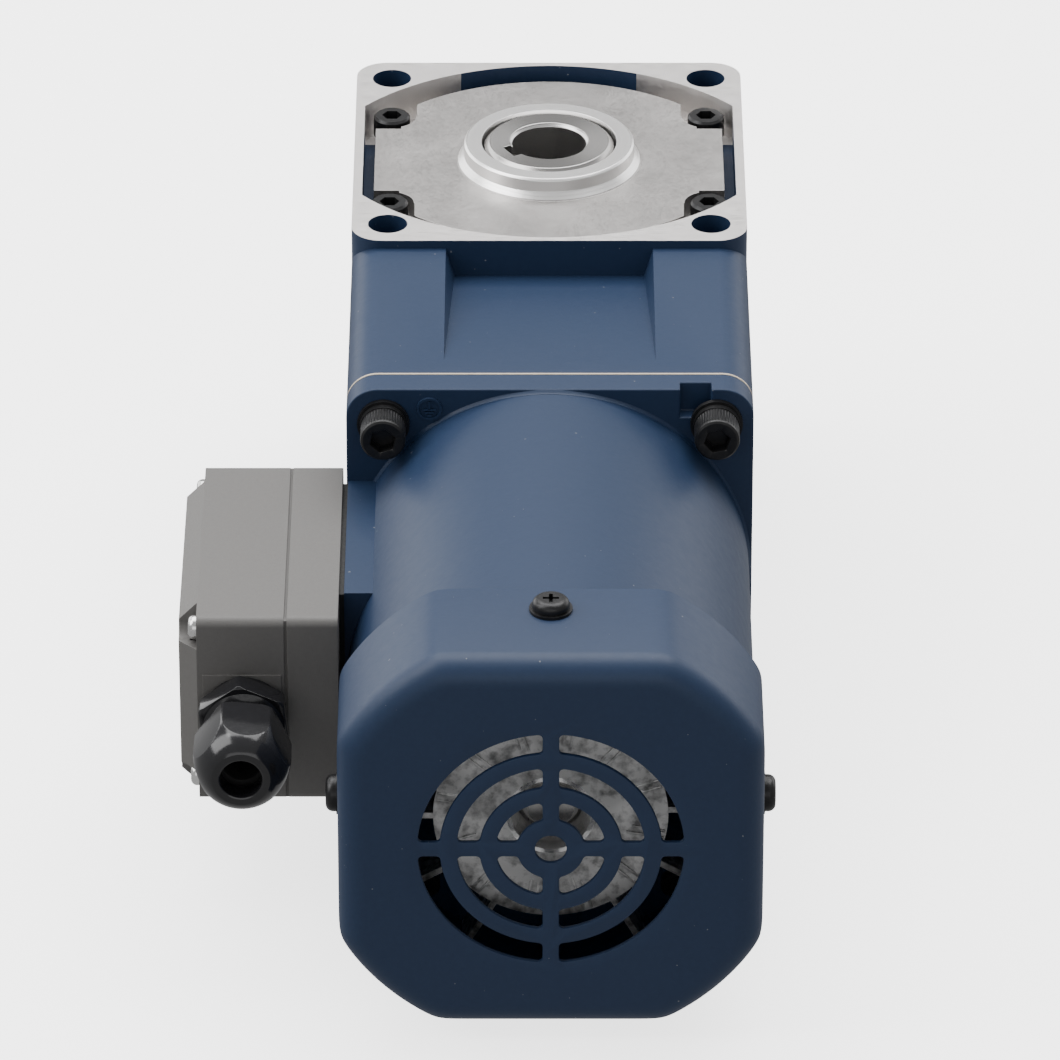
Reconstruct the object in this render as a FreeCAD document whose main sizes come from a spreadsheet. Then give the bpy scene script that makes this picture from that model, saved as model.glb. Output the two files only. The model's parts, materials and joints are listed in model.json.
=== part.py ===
import FreeCAD, Part
import Sketcher
import math
import os
import re

# Right-angle hollow-shaft gearmotor, millimetres, +Z up.
# The origin is on the axis of the output bore, in the plane of the milled mounting face.
# The motor lies along -Y: its fan cowl is at the -Y end, its terminal box on the -X side.

V = FreeCAD.Vector
doc = FreeCAD.newDocument("gearmotor")

# ---------------------------------------------------------------- driving dimensions

SIZES = {
    # frame
    "frame_width": 90, "corner_radius": 7, "axis_drop": 47, "seam_offset": 104,
    "body_height": 94, "input_height": 90, "mount_spacing": 73.54, "mount_hole_radius": 4.5,
    # output opening, cover and boss
    "opening_half_width": 42.85, "opening_arc_radius": 54.4, "opening_arc_offset": 11,
    "cover_half_width": 40.3, "cover_arc_radius": 46, "cover_arc_offset": 6.1,
    "cover_recess": 2.4, "cover_thickness": 6, "gasket_thickness": 0.5,
    "boss_radius": 19.65, "boss_flare": 1.65, "boss_rise": 2.4, "boss_bore_radius": 15.6,
    "cover_screw_x": 36.6, "cover_screw_y": 21.8, "cover_screw_radius": 2.5,
    "skirt_radius": 32,
    # output shaft and its bearings
    "shaft_radius": 15, "bore_radius": 8.5, "key_width": 5, "key_depth": 2.3, "key_angle": 210,
    "output_bearing_radius": 27.5, "output_bearing_width": 13, "shaft_collar_radius": 18,
    # gear cavities
    "gear_cavity_radius": 38, "cavity_floor": 76, "input_cavity_half": 39.5, "input_cavity_length": 36,
    "corner_post_radius": 7, "lug_offset": 35, "lug_radius": 4,
    # scoops in the input casing
    "scoop_half_width": 23.5, "scoop_depth": 7, "scoop_draft": 2, "scoop_start": 6,
    # gear train
    "spur_module": 1, "spur_centres": 24, "bevel_ring_radius": 33, "bevel_face": 9.5,
    "pinion_bearing_radius": 16, "pinion_bearing_width": 9, "pinion_shaft_radius": 7.5,
    "lay_bearing_radius": 8, "lay_bearing_width": 5, "lay_shaft_radius": 4,
    # motor
    "flange_thickness": 7.7, "seam_thickness": 0.6, "flange_screw_radius": 3, "flange_screw_head": 5,
    "motor_radius": 44.3, "motor_inner_radius": 42, "motor_end": 93,
    "pad_face": 44.7, "pad_half_height": 22, "pad_end": 57.5,
    "core_start": 22, "core_length": 50, "core_bore_radius": 24.3, "rotor_radius": 24,
    "front_bearing_radius": 17.5, "front_bearing_width": 11, "front_journal": 7.5,
    "rear_bearing_radius": 16, "rear_bearing_width": 10, "rear_journal": 6,
    # fan and cowl
    "shield_radius": 44, "shield_end": 108, "shield_screw_place": 26.5, "shield_lug_radius": 4.8,
    "cowl_start": 95.3, "cowl_end": 127.7, "cowl_half": 45.1, "cowl_corner_radius": 51.2,
    "cowl_wall": 1, "cowl_edge": 6, "rib_half_width": 1.75,
    "cowl_screw_place": 104.5, "fan_radius": 38, "fan_disc_end": 113.7,
    # terminal box, measured along -X from the motor axis
    "box_inner": 45.8, "box_seam": 56.9, "box_outer": 80.4, "box_step": 76.4,
    "box_front": 70.3, "box_back": 1.6, "box_half_height": 22.7, "box_wall": 2.5,
    "gland_x": 66.2, "gland_reach": 29, "gland_hole_radius": 4.5,
}

sheet = doc.addObject("Spreadsheet::Sheet", "Sizes")
for row, (name, size) in enumerate(SIZES.items(), start=1):
    sheet.set("A%d" % row, name)
    sheet.set("B%d" % row, str(size))
    sheet.setAlias("B%d" % row, name)
doc.recompute()


def size(name):
    """The number in one cell of the sheet, for shapes that are worked out in code."""
    return float(getattr(sheet, name))


# ---------------------------------------------------------------- placing and binding

TURNS = {
    "+Z": FreeCAD.Rotation(V(1, 0, 0), 0), "-Z": FreeCAD.Rotation(V(1, 0, 0), 180),
    "+Y": FreeCAD.Rotation(V(1, 0, 0), -90), "-Y": FreeCAD.Rotation(V(1, 0, 0), 90),
    "+X": FreeCAD.Rotation(V(0, 1, 0), 90), "-X": FreeCAD.Rotation(V(0, 1, 0), -90),
}
CENTRE = ("0", "0", "0")
AXIS_PLANE = (0, 0, -SIZES["axis_drop"])


def formula(text):
    """An expression whose words are cells of the sheet."""
    def cell(word):
        return "Sizes." + word.group() if word.group() in SIZES else word.group()

    return re.sub(r"[a-z_]+", cell, str(text))


def bind(thing, **formulas):
    for name, text in formulas.items():
        thing.setExpression(name, formula(text))
    return thing


def place(thing, at, along="+Z", spin=0):
    """Puts a thing's own Z axis along a direction of the frame, at a point given by three formulas."""
    thing.Placement = FreeCAD.Placement(V(), TURNS[along] * FreeCAD.Rotation(V(0, 0, 1), spin))
    for letter, text in zip("xyz", at):
        thing.setExpression("Placement.Base." + letter, formula(text))
    return thing


def behind(distance, x="0", height="0"):
    """A point on the motor side: distance behind the flange seam, height over the motor axis."""
    return (x, "-seam_offset - (%s)" % distance, "(%s) - axis_drop" % height)


# ---------------------------------------------------------------- primitives and booleans

def cylinder(name, radius, length, at=CENTRE, along="+Z"):
    return place(bind(doc.addObject("Part::Cylinder", name), Radius=radius, Height=length), at, along)


def cone(name, first_radius, second_radius, length, at=CENTRE, along="+Z"):
    made = doc.addObject("Part::Cone", name)
    return place(bind(made, Radius1=first_radius, Radius2=second_radius, Height=length), at, along)


def ball(name, radius, at=CENTRE):
    return place(bind(doc.addObject("Part::Sphere", name), Radius=radius), at)


def box(name, sides, at=CENTRE):
    made = doc.addObject("Part::Box", name)
    return place(bind(made, Length=sides[0], Width=sides[1], Height=sides[2]), at)


def prism(name, corners, radius, length, at=CENTRE, along="+Z", spin=0):
    made = doc.addObject("Part::Prism", name)
    made.Polygon = corners
    return place(bind(made, Circumradius=radius, Height=length), at, along, spin)


def fuse(name, *parts):
    made = doc.addObject("Part::MultiFuse", name)
    made.Shapes = list(parts)
    return made


def common(name, *parts):
    made = doc.addObject("Part::MultiCommon", name)
    made.Shapes = list(parts)
    return made


def cut(name, base, *tools):
    made = doc.addObject("Part::Cut", name)
    made.Base = base
    made.Tool = tools[0] if len(tools) == 1 else fuse(name + "_tools", *tools)
    return made


def group(name, *parts):
    """Separate solids of one node."""
    made = doc.addObject("Part::Compound", name)
    made.Links = list(parts)
    return made


def mirror(name, source, normal, base=(0, 0, 0)):
    made = doc.addObject("Part::Mirroring", name)
    made.Source = source
    made.Normal = V(*normal)
    made.Base = V(*base)
    return made


def four_ways(name, source, first, second, base=(0, 0, 0)):
    """A thing, its mirror image, and both again across a second plane."""
    pair = group(name + "_pair", source, mirror(name + "_image", source, first, base))
    return group(name, pair, mirror(name + "_pair_image", pair, second, base))


def tube(name, outer, inner, length, at=CENTRE, along="+Z"):
    return cut(name, cylinder(name + "_outer", outer, length, at, along),
               cylinder(name + "_inner", inner, length, at, along))


def edges_where(shape, test):
    return [number for number, edge in enumerate(shape.Edges, start=1) if test(edge)]


def is_straight_along(edge, axis):
    start, end = edge.Vertexes[0].Point, edge.Vertexes[-1].Point
    run = end - start
    return edge.Curve.TypeId == "Part::GeomLine" and abs(abs(run.dot(axis)) - run.Length) < 1e-6


def rounded(name, base, radius, test):
    """Rounds the edges of a base that pass a test."""
    doc.recompute()
    made = doc.addObject("Part::Fillet", name)
    made.Base = base
    made.Edges = [(number, radius, radius) for number in edges_where(base.Shape, test)]
    return made


def bevelled(name, base, width, test):
    doc.recompute()
    made = doc.addObject("Part::Chamfer", name)
    made.Base = base
    made.Edges = [(number, width, width) for number in edges_where(base.Shape, test)]
    return made


def from_code(name, shape):
    """A sub-part whose outline is a formula."""
    made = doc.addObject("Part::Feature", name)
    where = shape.Placement
    made.Shape = shape
    made.Placement = where
    return made


# ---------------------------------------------------------------- sketches and bodies

def body(name, at=CENTRE, along="+Z", spin=0):
    return place(doc.addObject("PartDesign::Body", name), at, along, spin)


def sketch(owner, name, plane="XY_Plane", lift="0"):
    made = owner.newObject("Sketcher::SketchObject", name)
    face = next(item for item in owner.Origin.OriginFeatures if item.Role == plane)
    made.AttachmentSupport = (face, "")
    made.MapMode = "FlatFace"
    made.setExpression("AttachmentOffset.Base.z", formula(lift))
    return made


def constrain(drawing, text, kind, *where):
    """A dimension of a sketch, bound to the sheet."""
    index = drawing.addConstraint(Sketcher.Constraint(kind, *where))
    drawing.setExpression("Constraints[%d]" % index, formula(text))


def draw_circle(drawing, radius):
    """A circle on the sketch's origin."""
    circle = drawing.addGeometry(Part.Circle(V(), V(0, 0, 1), 10))
    drawing.addConstraint(Sketcher.Constraint("Coincident", circle, 3, -1, 1))
    constrain(drawing, radius, "Radius", circle, 10)


def draw_rectangle(drawing, half_width, half_height):
    """A rectangle centred on the sketch's origin."""
    corners = [V(-20, -10, 0), V(20, -10, 0), V(20, 10, 0), V(-20, 10, 0)]
    first = drawing.GeometryCount
    for index in range(4):
        drawing.addGeometry(Part.LineSegment(corners[index], corners[(index + 1) % 4]))
    for index in range(4):
        following = first + (index + 1) % 4
        drawing.addConstraint(Sketcher.Constraint("Coincident", first + index, 2, following, 1))
    for index, direction in enumerate(("Horizontal", "Vertical", "Horizontal", "Vertical")):
        drawing.addConstraint(Sketcher.Constraint(direction, first + index))
    drawing.addConstraint(Sketcher.Constraint("Symmetric", first, 1, first + 1, 2, -1, 1))
    constrain(drawing, "2 * (%s)" % half_width, "DistanceX", first, 1, first, 2, 40)
    constrain(drawing, "2 * (%s)" % half_height, "DistanceY", first + 1, 1, first + 1, 2, 20)


def pad(owner, name, drawing, length, reverse=False):
    made = owner.newObject("PartDesign::Pad", name)
    made.Profile = drawing
    made.Reversed = reverse
    return bind(made, Length=length)


def pocket(owner, name, drawing, length, reverse=False):
    made = owner.newObject("PartDesign::Pocket", name)
    made.Profile = drawing
    made.Reversed = reverse
    return bind(made, Length=length)


def round_corners(owner, name, radius):
    """Rounds the edges of a body that run along its own Z axis."""
    doc.recompute()
    tip = owner.Tip
    upright = edges_where(tip.Shape, lambda edge: is_straight_along(edge, V(0, 0, 1)))
    made = owner.newObject("PartDesign::Fillet", name)
    made.Base = (tip, ["Edge%d" % number for number in upright])
    return bind(made, Radius=radius)


# ---------------------------------------------------------------- shared pieces

def ball_ring(name, count, ball_radius, ring_radius, at, along):
    """The balls of one bearing, spread evenly round its pitch circle."""
    balls = []
    turn = FreeCAD.Placement(V(), TURNS[along])
    for index in range(count):
        angle = 2 * math.pi * index / count
        spot = turn.multVec(V(ring_radius * math.cos(angle), ring_radius * math.sin(angle), 0))
        offset = ["(%s) + (%.6f)" % (text, shift) for text, shift in zip(at, spot)]
        balls.append(ball("%s_%d" % (name, index), ball_radius, offset))
    return balls


def race(name, outer, inner, width, groove_radius, groove_ring, at, along, lift):
    """A bearing ring with its ball groove."""
    ring = tube(name + "_blank", outer, inner, width, at, along)
    groove = doc.addObject("Part::Torus", name + "_groove")
    bind(groove, Radius1=groove_ring, Radius2=groove_radius)
    shift = TURNS[along].multVec(V(0, 0, lift))
    place(groove, ["(%s) + (%.6f)" % (text, step) for text, step in zip(at, shift)], along)
    return cut(name, ring, groove)


def bearing(name, outer, inner, width, count, at, along):
    """A deep-groove ball bearing: its outer ring, inner ring and balls, as separate solids."""
    reach = size_of(outer) - size_of(inner)
    middle = (size_of(outer) + size_of(inner)) / 2
    ball_radius = 0.3 * reach
    lift = size_of(width) / 2
    wall = 0.22 * reach
    groove = str(ball_radius + 0.05)
    where = (groove, str(middle), at, along, lift)
    outer_ring = race(name + "_outer_ring", outer, "%s - %.4f" % (outer, wall), width, *where)
    inner_ring = race(name + "_inner_ring", "%s + %.4f" % (inner, wall), inner, width, *where)
    shift = TURNS[along].multVec(V(0, 0, lift))
    centre = ["(%s) + (%.6f)" % (text, step) for text, step in zip(at, shift)]
    return outer_ring, inner_ring, ball_ring(name + "_ball", count, str(ball_radius), middle, centre, along)


def size_of(text):
    return size(text) if text in SIZES else float(text)


def socket_screw(name, radius, length, head_radius, head_length, at, along):
    """A socket head cap screw. It points along its direction, with its head behind the start point."""
    turn = TURNS[along].multVec(V(0, 0, 1))
    back = ["(%s) - (%s) * (%s)" % (text, head_length, step) for text, step in zip(at, turn)]
    head = cylinder(name + "_head", head_radius, head_length, back, along)
    head = bevelled(name + "_cap", head, 0.5, lambda edge: is_rim(edge, head, turn, 0))
    shank = cylinder(name + "_shank", radius, length, at, along)
    hexagon = prism(name + "_socket", 6, "(%s) * 0.54" % head_radius, "(%s) * 0.55" % head_length,
                    back, along)
    return cut(name, fuse(name + "_blank", head, shank), hexagon)


def is_rim(edge, solid, direction, end):
    """Whether a round edge lies at the low (0) or high (1) end of a solid along a direction."""
    reach = sorted(point.Point.dot(direction) for point in solid.Shape.Vertexes)
    where = edge.Vertexes[0].Point.dot(direction)
    return edge.Curve.TypeId == "Part::GeomCircle" and abs(where - reach[-end]) < 1e-6


# ---------------------------------------------------------------- gearbox casing

def opening(name, depth):
    """The milled opening in the face: straight sides and two shallow arcs."""
    top = "-(%s)" % depth
    sides = box(name + "_sides", ("2 * opening_half_width", "frame_width", "%s + 1" % depth),
                ("-opening_half_width", "-frame_width / 2", top))
    arcs = [cylinder(name + "_arc_%d" % number, "opening_arc_radius", "%s + 1" % depth,
                     ("0", "%d * opening_arc_offset" % sign, top)) for number, sign in enumerate((1, -1))]
    return common(name, sides, *arcs)


def scoop(name):
    """The shallow drafted recess in the top of the input casing, deepest against the output block."""
    made = doc.addObject("Part::Wedge", name)
    reach = "seam_offset - frame_width / 2 - scoop_start"
    bind(made, Xmin="-scoop_half_width", Xmax="scoop_half_width", Ymin="0", Ymax="scoop_depth",
         X2min="scoop_draft - scoop_half_width", X2max="scoop_half_width - scoop_draft",
         Zmin="0", Zmax=reach, Z2min=reach + " - 0.01", Z2max=reach)
    return place(made, ("0", "scoop_start - seam_offset", "input_height / 2 - axis_drop"), "+Y")


def make_gearbox_housing():
    block = body("output_block")
    face = sketch(block, "face_outline")
    draw_rectangle(face, "frame_width / 2", "frame_width / 2")
    pad(block, "block_pad", face, "body_height", reverse=True)
    round_corners(block, "block_corners", "corner_radius")
    casing = body("input_casing", behind("0"), "+Y")
    outline = sketch(casing, "casing_outline")
    draw_rectangle(outline, "frame_width / 2", "input_height / 2")
    pad(casing, "casing_pad", outline, "seam_offset - frame_width / 2 + corner_radius + 1")
    round_corners(casing, "casing_corners", "corner_radius")
    outside = fuse("housing_outside", block, casing)

    upper = scoop("upper_scoop")
    lower = mirror("lower_scoop", upper, (0, 0, 1), AXIS_PLANE)
    cavity = cylinder("gear_cavity", "gear_cavity_radius", "cavity_floor", ("0", "0", "-cavity_floor"))
    seat = cylinder("lower_bearing_seat", "output_bearing_radius", "output_bearing_width",
                    ("0", "0", "-cavity_floor - output_bearing_width + 1"))
    seal_seat = cylinder("lower_seal_seat", 20, 7, ("0", "0", "2 - body_height"))
    under = "-body_height - 1"
    shaft_hole = cylinder("lower_shaft_hole", "boss_bore_radius", "body_height", ("0", "0", under))
    web_bore = cylinder("pinion_bearing_bore", "pinion_bearing_radius", 40,
                        behind("-input_cavity_length + 1"), "+Y")
    lay_bore = cylinder("layshaft_bearing_bore", "lay_bearing_radius", "lay_bearing_width + 1",
                        lay_point("-input_cavity_length + 1"), "+Y")
    mount_hole = cylinder("mount_hole", "mount_hole_radius", "body_height + 2",
                          ("mount_spacing / 2", "mount_spacing / 2", under))
    mount_holes = four_ways("mount_holes", mount_hole, (1, 0, 0), (0, 1, 0))
    cover_hole = cylinder("cover_screw_hole", "cover_screw_radius + 0.05", 16,
                          ("cover_screw_x", "cover_screw_y", "-24"))
    cover_holes = four_ways("cover_screw_holes", cover_hole, (1, 0, 0), (0, 1, 0))
    flange_hole = cylinder("flange_screw_hole", "flange_screw_radius + 0.05", 17,
                           behind("1", "mount_spacing / 2", "mount_spacing / 2"), "+Y")
    flange_holes = four_ways("flange_screw_holes", flange_hole, (1, 0, 0), (0, 0, 1), AXIS_PLANE)
    face_opening = opening("face_opening", "cover_recess + cover_thickness + gasket_thickness")
    return cut("gearbox_housing", outside, face_opening, cavity, seat, seal_seat, shaft_hole, web_bore,
               lay_bore, input_cavity(), upper, lower, mount_holes, cover_holes, flange_holes)


def lay_point(distance):
    """A point on the layshaft's axis, which lies at 45 degrees below and beside the motor axis."""
    return behind(distance, "-spur_centres * sqrt(0.5)", "-spur_centres * sqrt(0.5)")


def input_cavity():
    """The square gear chamber behind the seam, with a post at each screw and a lug on each side."""
    width = "2 * input_cavity_half"
    chamber = box("input_chamber", (width, "input_cavity_length + 1", width),
                  ("-input_cavity_half", "-seam_offset - 1", "-input_cavity_half - axis_drop"))
    post = cylinder("corner_post", "corner_post_radius", "input_cavity_length + 2",
                    behind("1.5", "mount_spacing / 2", "mount_spacing / 2"), "+Y")
    posts = four_ways("corner_posts", post, (1, 0, 0), (0, 0, 1), AXIS_PLANE)
    return cut("input_cavity", chamber, posts, *[make_lug(number) for number in range(4)])


def make_lug(number):
    """A drilled lug for one rear plate screw, with the web that joins it to the chamber's wall."""
    lug_round = cylinder("lug_round_%d" % number, "lug_radius", 31, lug_point(number, "-6.2"), "+Y")
    web = box("lug_web_%d" % number, ("2 * lug_radius", 31, "2 * lug_radius"), lug_corner(number))
    hole = cylinder("lug_hole_%d" % number, 1.65, 10, lug_point(number, "-6"), "+Y")
    return cut("lug_body_%d" % number, fuse("lug_%d" % number, lug_round, web), hole)


LUG_SIDES = ((1, 0), (-1, 0), (0, 1), (0, -1))


def lug_point(number, distance):
    across, up = LUG_SIDES[number]
    return behind(distance, "%d * lug_offset" % across, "%d * lug_offset" % up)


def lug_corner(number):
    """The low corner of the web that joins a lug to the chamber's wall."""
    across, up = LUG_SIDES[number]
    return ("%d * (lug_offset + lug_radius) - lug_radius" % across, "-seam_offset + 6.2",
            "%d * (lug_offset + lug_radius) - lug_radius - axis_drop" % up)


def make_output_cover():
    """The bright cover: a plate with two arcs, stepped corners for its screws, a boss and a bearing skirt."""
    low = "-cover_recess - cover_thickness"
    sides = box("cover_sides", ("2 * cover_half_width", "frame_width", "cover_thickness"),
                ("-cover_half_width", "-frame_width / 2", low))
    arcs = [cylinder("cover_arc_%d" % number, "cover_arc_radius", "cover_thickness",
                     ("0", "%d * cover_arc_offset" % sign, low)) for number, sign in enumerate((1, -1))]
    plate = common("cover_plate", sides, *arcs)
    flare = cone("boss_flare_cone", "boss_radius + boss_flare", "boss_radius", "boss_flare",
                 ("0", "0", "-cover_recess"))
    boss = cylinder("boss", "boss_radius", "cover_recess + boss_rise", ("0", "0", "-cover_recess"))
    boss = bevelled("boss_edge", boss, 0.5, lambda edge: is_rim(edge, boss, V(0, 0, 1), 1))
    skirt_low = ("0", "0", low + " - output_bearing_width")
    skirt = cylinder("cover_skirt", "skirt_radius", "output_bearing_width", skirt_low)
    notch = fuse("notch", cylinder("notch_round", "5.6", 5, ("cover_screw_x", "cover_screw_y", "-7")),
                 box("notch_step", (12, 10, 5), ("30.8", "cover_screw_y", "-7")),
                 box("notch_side", (12, 6.5, 5), ("34.4", "15.6", "-7")))
    notches = four_ways("notches", notch, (1, 0, 0), (0, 1, 0))
    hole = cylinder("cover_clearance", "cover_screw_radius + 0.25", 20,
                    ("cover_screw_x", "cover_screw_y", "-20"))
    holes = four_ways("cover_clearances", hole, (1, 0, 0), (0, 1, 0))
    seat = cylinder("upper_bearing_seat", "output_bearing_radius", "output_bearing_width", skirt_low)
    bore = cylinder("boss_bore", "boss_bore_radius", 12, ("0", "0", "-9"))
    seal_seat = cylinder("upper_seal_seat", "18", "6", ("0", "0", "-8.5"))
    blank = fuse("cover_blank", plate, flare, boss, skirt)
    return cut("output_cover", blank, notches, holes, seat, bore, seal_seat)


def make_cover_gasket():
    low = "-cover_recess - cover_thickness - gasket_thickness"
    sides = box("gasket_sides", ("2 * cover_half_width", "frame_width", "gasket_thickness"),
                ("-cover_half_width", "-frame_width / 2", low))
    arcs = [cylinder("gasket_arc_%d" % number, "cover_arc_radius", "gasket_thickness",
                     ("0", "%d * cover_arc_offset" % sign, low)) for number, sign in enumerate((1, -1))]
    hole = cylinder("gasket_clearance", "cover_screw_radius + 0.3", 2,
                    ("cover_screw_x", "cover_screw_y", low + " - 0.5"))
    return cut("cover_gasket", common("gasket_plate", sides, *arcs),
               cylinder("gasket_bore", "gear_cavity_radius", 2, ("0", "0", low + " - 0.5")),
               four_ways("gasket_clearances", hole, (1, 0, 0), (0, 1, 0)))


def make_cover_screws():
    screw = socket_screw("cover_screw", "cover_screw_radius", 14, 4.25, 5,
                         ("cover_screw_x", "cover_screw_y", "-7"), "-Z")
    return four_ways("cover_screws", screw, (1, 0, 0), (0, 1, 0))


def make_output_seals():
    upper = tube("upper_seal", "18", "shaft_radius + 0.05", "5.9", ("0", "0", "-8.4"))
    lower = tube("lower_seal", "20", "shaft_radius + 0.05", "3.5", ("0", "0", "-body_height + 2.2"))
    return group("output_seals", upper, lower)


# ---------------------------------------------------------------- output shaft

def make_output_shaft():
    """The hollow steel shaft: bevelled ends, a collar above the gear, and a keyed bore."""
    length = "body_height + boss_rise"
    bar = cylinder("shaft_bar", "shaft_radius", length, ("0", "0", "-body_height"))
    bar = bevelled("shaft_ends", bar, 1.2, lambda edge: edge.Curve.TypeId == "Part::GeomCircle")
    collar = cylinder("shaft_collar", "shaft_collar_radius", "35.5", ("0", "0", "-57"))
    bore = cylinder("shaft_bore", "bore_radius", length + " + 2", ("0", "0", "-body_height - 1"))
    mouths = [cone("bore_mouth_top", "bore_radius", "bore_radius + 1", 1, ("0", "0", "boss_rise - 0.7")),
              cone("bore_mouth_bottom", "bore_radius + 1", "bore_radius", 1, ("0", "0", "-body_height - 0.3"))]
    keyway = box("keyway_slot", ("bore_radius + key_depth", "key_width", length + " + 2"))
    keyway.Placement = FreeCAD.Placement(V(), FreeCAD.Rotation(V(0, 0, 1), size("key_angle")))
    radians = math.radians(size("key_angle"))
    keyway.setExpression("Placement.Base.x", formula("key_width / 2 * %.6f" % math.sin(radians)))
    keyway.setExpression("Placement.Base.y", formula("-key_width / 2 * %.6f" % math.cos(radians)))
    keyway.setExpression("Placement.Base.z", formula("-body_height - 1"))
    seat = box("gear_key_seat", (3, "6", "14"), ("shaft_radius - 3", "-3", "-73"))
    return cut("hollow_output_shaft", fuse("shaft_blank", bar, collar), bore, *mouths, keyway, seat)


def make_gear_key():
    return box("ring_gear_key", ("5", "5.9", "13.9"), ("shaft_radius - 2.9", "-2.95", "-72.95"))


# ---------------------------------------------------------------- gear teeth

def involute_outline(teeth, module, thinning, addendum=0.9, dedendum=1.2):
    """Half-tooth flank points (radius, angle from the tooth's centre line), root to tip."""
    pitch = module * teeth / 2
    pressure = math.radians(20)
    base = pitch * math.cos(pressure)
    tip = pitch + addendum * module
    root = pitch - dedendum * module
    half = math.pi / (2 * teeth) - thinning / pitch / 2 + math.tan(pressure) - pressure
    points = []
    if root < base:
        points.append((root, half))
    start = max(base, root)
    steps = 6
    for step in range(steps + 1):
        radius = start + (tip - start) * step / steps
        roll = math.acos(min(1, base / radius))
        points.append((radius, half - (math.tan(roll) - roll)))
    return points


def tooth_wire(points, angle):
    """A closed tooth outline round its centre line, sunk a little under the root circle."""
    sunk = [(points[0][0] - 0.4, points[0][1])] + points
    left = [V(radius * math.cos(angle + turn), radius * math.sin(angle + turn), 0) for radius, turn in sunk]
    right = [V(radius * math.cos(angle - turn), radius * math.sin(angle - turn), 0) for radius, turn in sunk]
    loop = left + right[::-1]
    return Part.makePolygon(loop + [loop[0]])


def spur_gear(teeth, module, width, thinning=0.12, phase=0.0):
    """A spur gear blank with involute teeth, from z = 0 up to its width."""
    points = involute_outline(teeth, module, thinning)
    blank = Part.makeCylinder(points[0][0], width)
    teeth_solids = []
    for index in range(teeth):
        outline = Part.Face(tooth_wire(points, phase + 2 * math.pi * index / teeth))
        teeth_solids.append(outline.extrude(V(0, 0, width)))
    return blank.multiFuse(teeth_solids).removeSplitter()


LAY_ANGLE = math.radians(225)
MOTOR_TEETH, LAY_GEAR_TEETH, LAY_PINION_TEETH, WHEEL_TEETH = 12, 36, 14, 34
BEVEL_PINION_TEETH, RING_TEETH = 12, 36


def turned_to(shape, distance, across=0, height=0):
    """Moves a shape made on +Z to the motor axis, its +Z towards the output, starting ahead of the seam."""
    where = V(across, distance - size("seam_offset"), height - size("axis_drop"))
    turn = FreeCAD.Placement(where, TURNS["+Y"])
    shape = shape.copy()
    shape.Placement = turn.multiply(shape.Placement)
    return shape


def lay_offset():
    return -size("spur_centres") * math.sqrt(0.5)


def shaft_steps(steps):
    """A turned shaft: (radius, start, end) steps along +Z, fused."""
    pieces = [Part.makeCylinder(radius, end - start, V(0, 0, start)) for radius, start, end in steps]
    return pieces[0].multiFuse(pieces[1:]).removeSplitter()


def mesh_phase(teeth, towards, gap):
    """The turn that sets a tooth (gap False) or a space (gap True) of a gear towards a direction."""
    return towards + (math.pi / teeth if gap else 0)


def make_motor_shaft():
    """The motor shaft, with its pinion cut on the front end. Distances are ahead of the seam."""
    module = size("spur_module")
    pinion = spur_gear(MOTOR_TEETH, module, 12, phase=mesh_phase(MOTOR_TEETH, -LAY_ANGLE, False))
    pinion.translate(V(0, 0, 7))
    front = size("front_journal")
    rear = size("rear_journal")
    bar = shaft_steps([(6, -1.9, 7), (front, -15, -1.9), (8.5, -80, -15), (rear, -96, -80), (5, -110.5, -96)])
    return from_code("motor_shaft", turned_to(bar.fuse(pinion), 0))


def make_layshaft():
    """The layshaft, with the second-stage pinion cut on it."""
    pinion = spur_gear(LAY_PINION_TEETH, size("spur_module"), 13,
                       phase=mesh_phase(LAY_PINION_TEETH, -LAY_ANGLE + math.pi, True))
    pinion.translate(V(0, 0, 19.5))
    bar = shaft_steps([(size("lay_shaft_radius"), 1.2, 8), (5, 8, 19.5), (5, 32.5, 34.8),
                       (size("lay_shaft_radius"), 34.8, 40)])
    key_seat = Part.makeBox(2.0, 3, 8, V(3.6, -1.5, 9))
    return from_code("layshaft", turned_to(bar.cut(key_seat).fuse(pinion), 0, lay_offset(), lay_offset()))


def bored(gear, radius, key_half, key_top, length):
    """A gear blank with its bore and keyway."""
    hole = Part.makeCylinder(radius, length + 2, V(0, 0, -1))
    slot = Part.makeBox(key_top, 2 * key_half, length + 2, V(0, -key_half, -1))
    return gear.cut(hole.fuse(slot))


def make_layshaft_gear():
    gear = spur_gear(LAY_GEAR_TEETH, size("spur_module"), 9,
                     phase=mesh_phase(LAY_GEAR_TEETH, -LAY_ANGLE + math.pi, True))
    gear = bored(gear, 5, 1.5, 6.4, 9)
    gear.translate(V(0, 0, 8.5))
    return from_code("layshaft_gear", turned_to(gear, 0, lay_offset(), lay_offset()))


def make_layshaft_key():
    key = Part.makeBox(2.6, 2.9, 7.9, V(3.65, -1.45, 9.05))
    return from_code("layshaft_key", turned_to(key, 0, lay_offset(), lay_offset()))


def make_second_stage_gear():
    gear = spur_gear(WHEEL_TEETH, size("spur_module"), 11, phase=mesh_phase(WHEEL_TEETH, -LAY_ANGLE, False))
    gear = bored(gear, size("pinion_shaft_radius"), 2, 9.4, 11)
    gear.translate(V(0, 0, 20.5))
    return from_code("second_stage_gear", turned_to(gear, 0))


def make_second_stage_key():
    return from_code("second_stage_key", turned_to(Part.makeBox(4, 3.9, 9.9, V(5.3, -1.95, 21)), 0))


# Bevel pair: both pitch cones have their apex where the motor axis meets the output axis.

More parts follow.
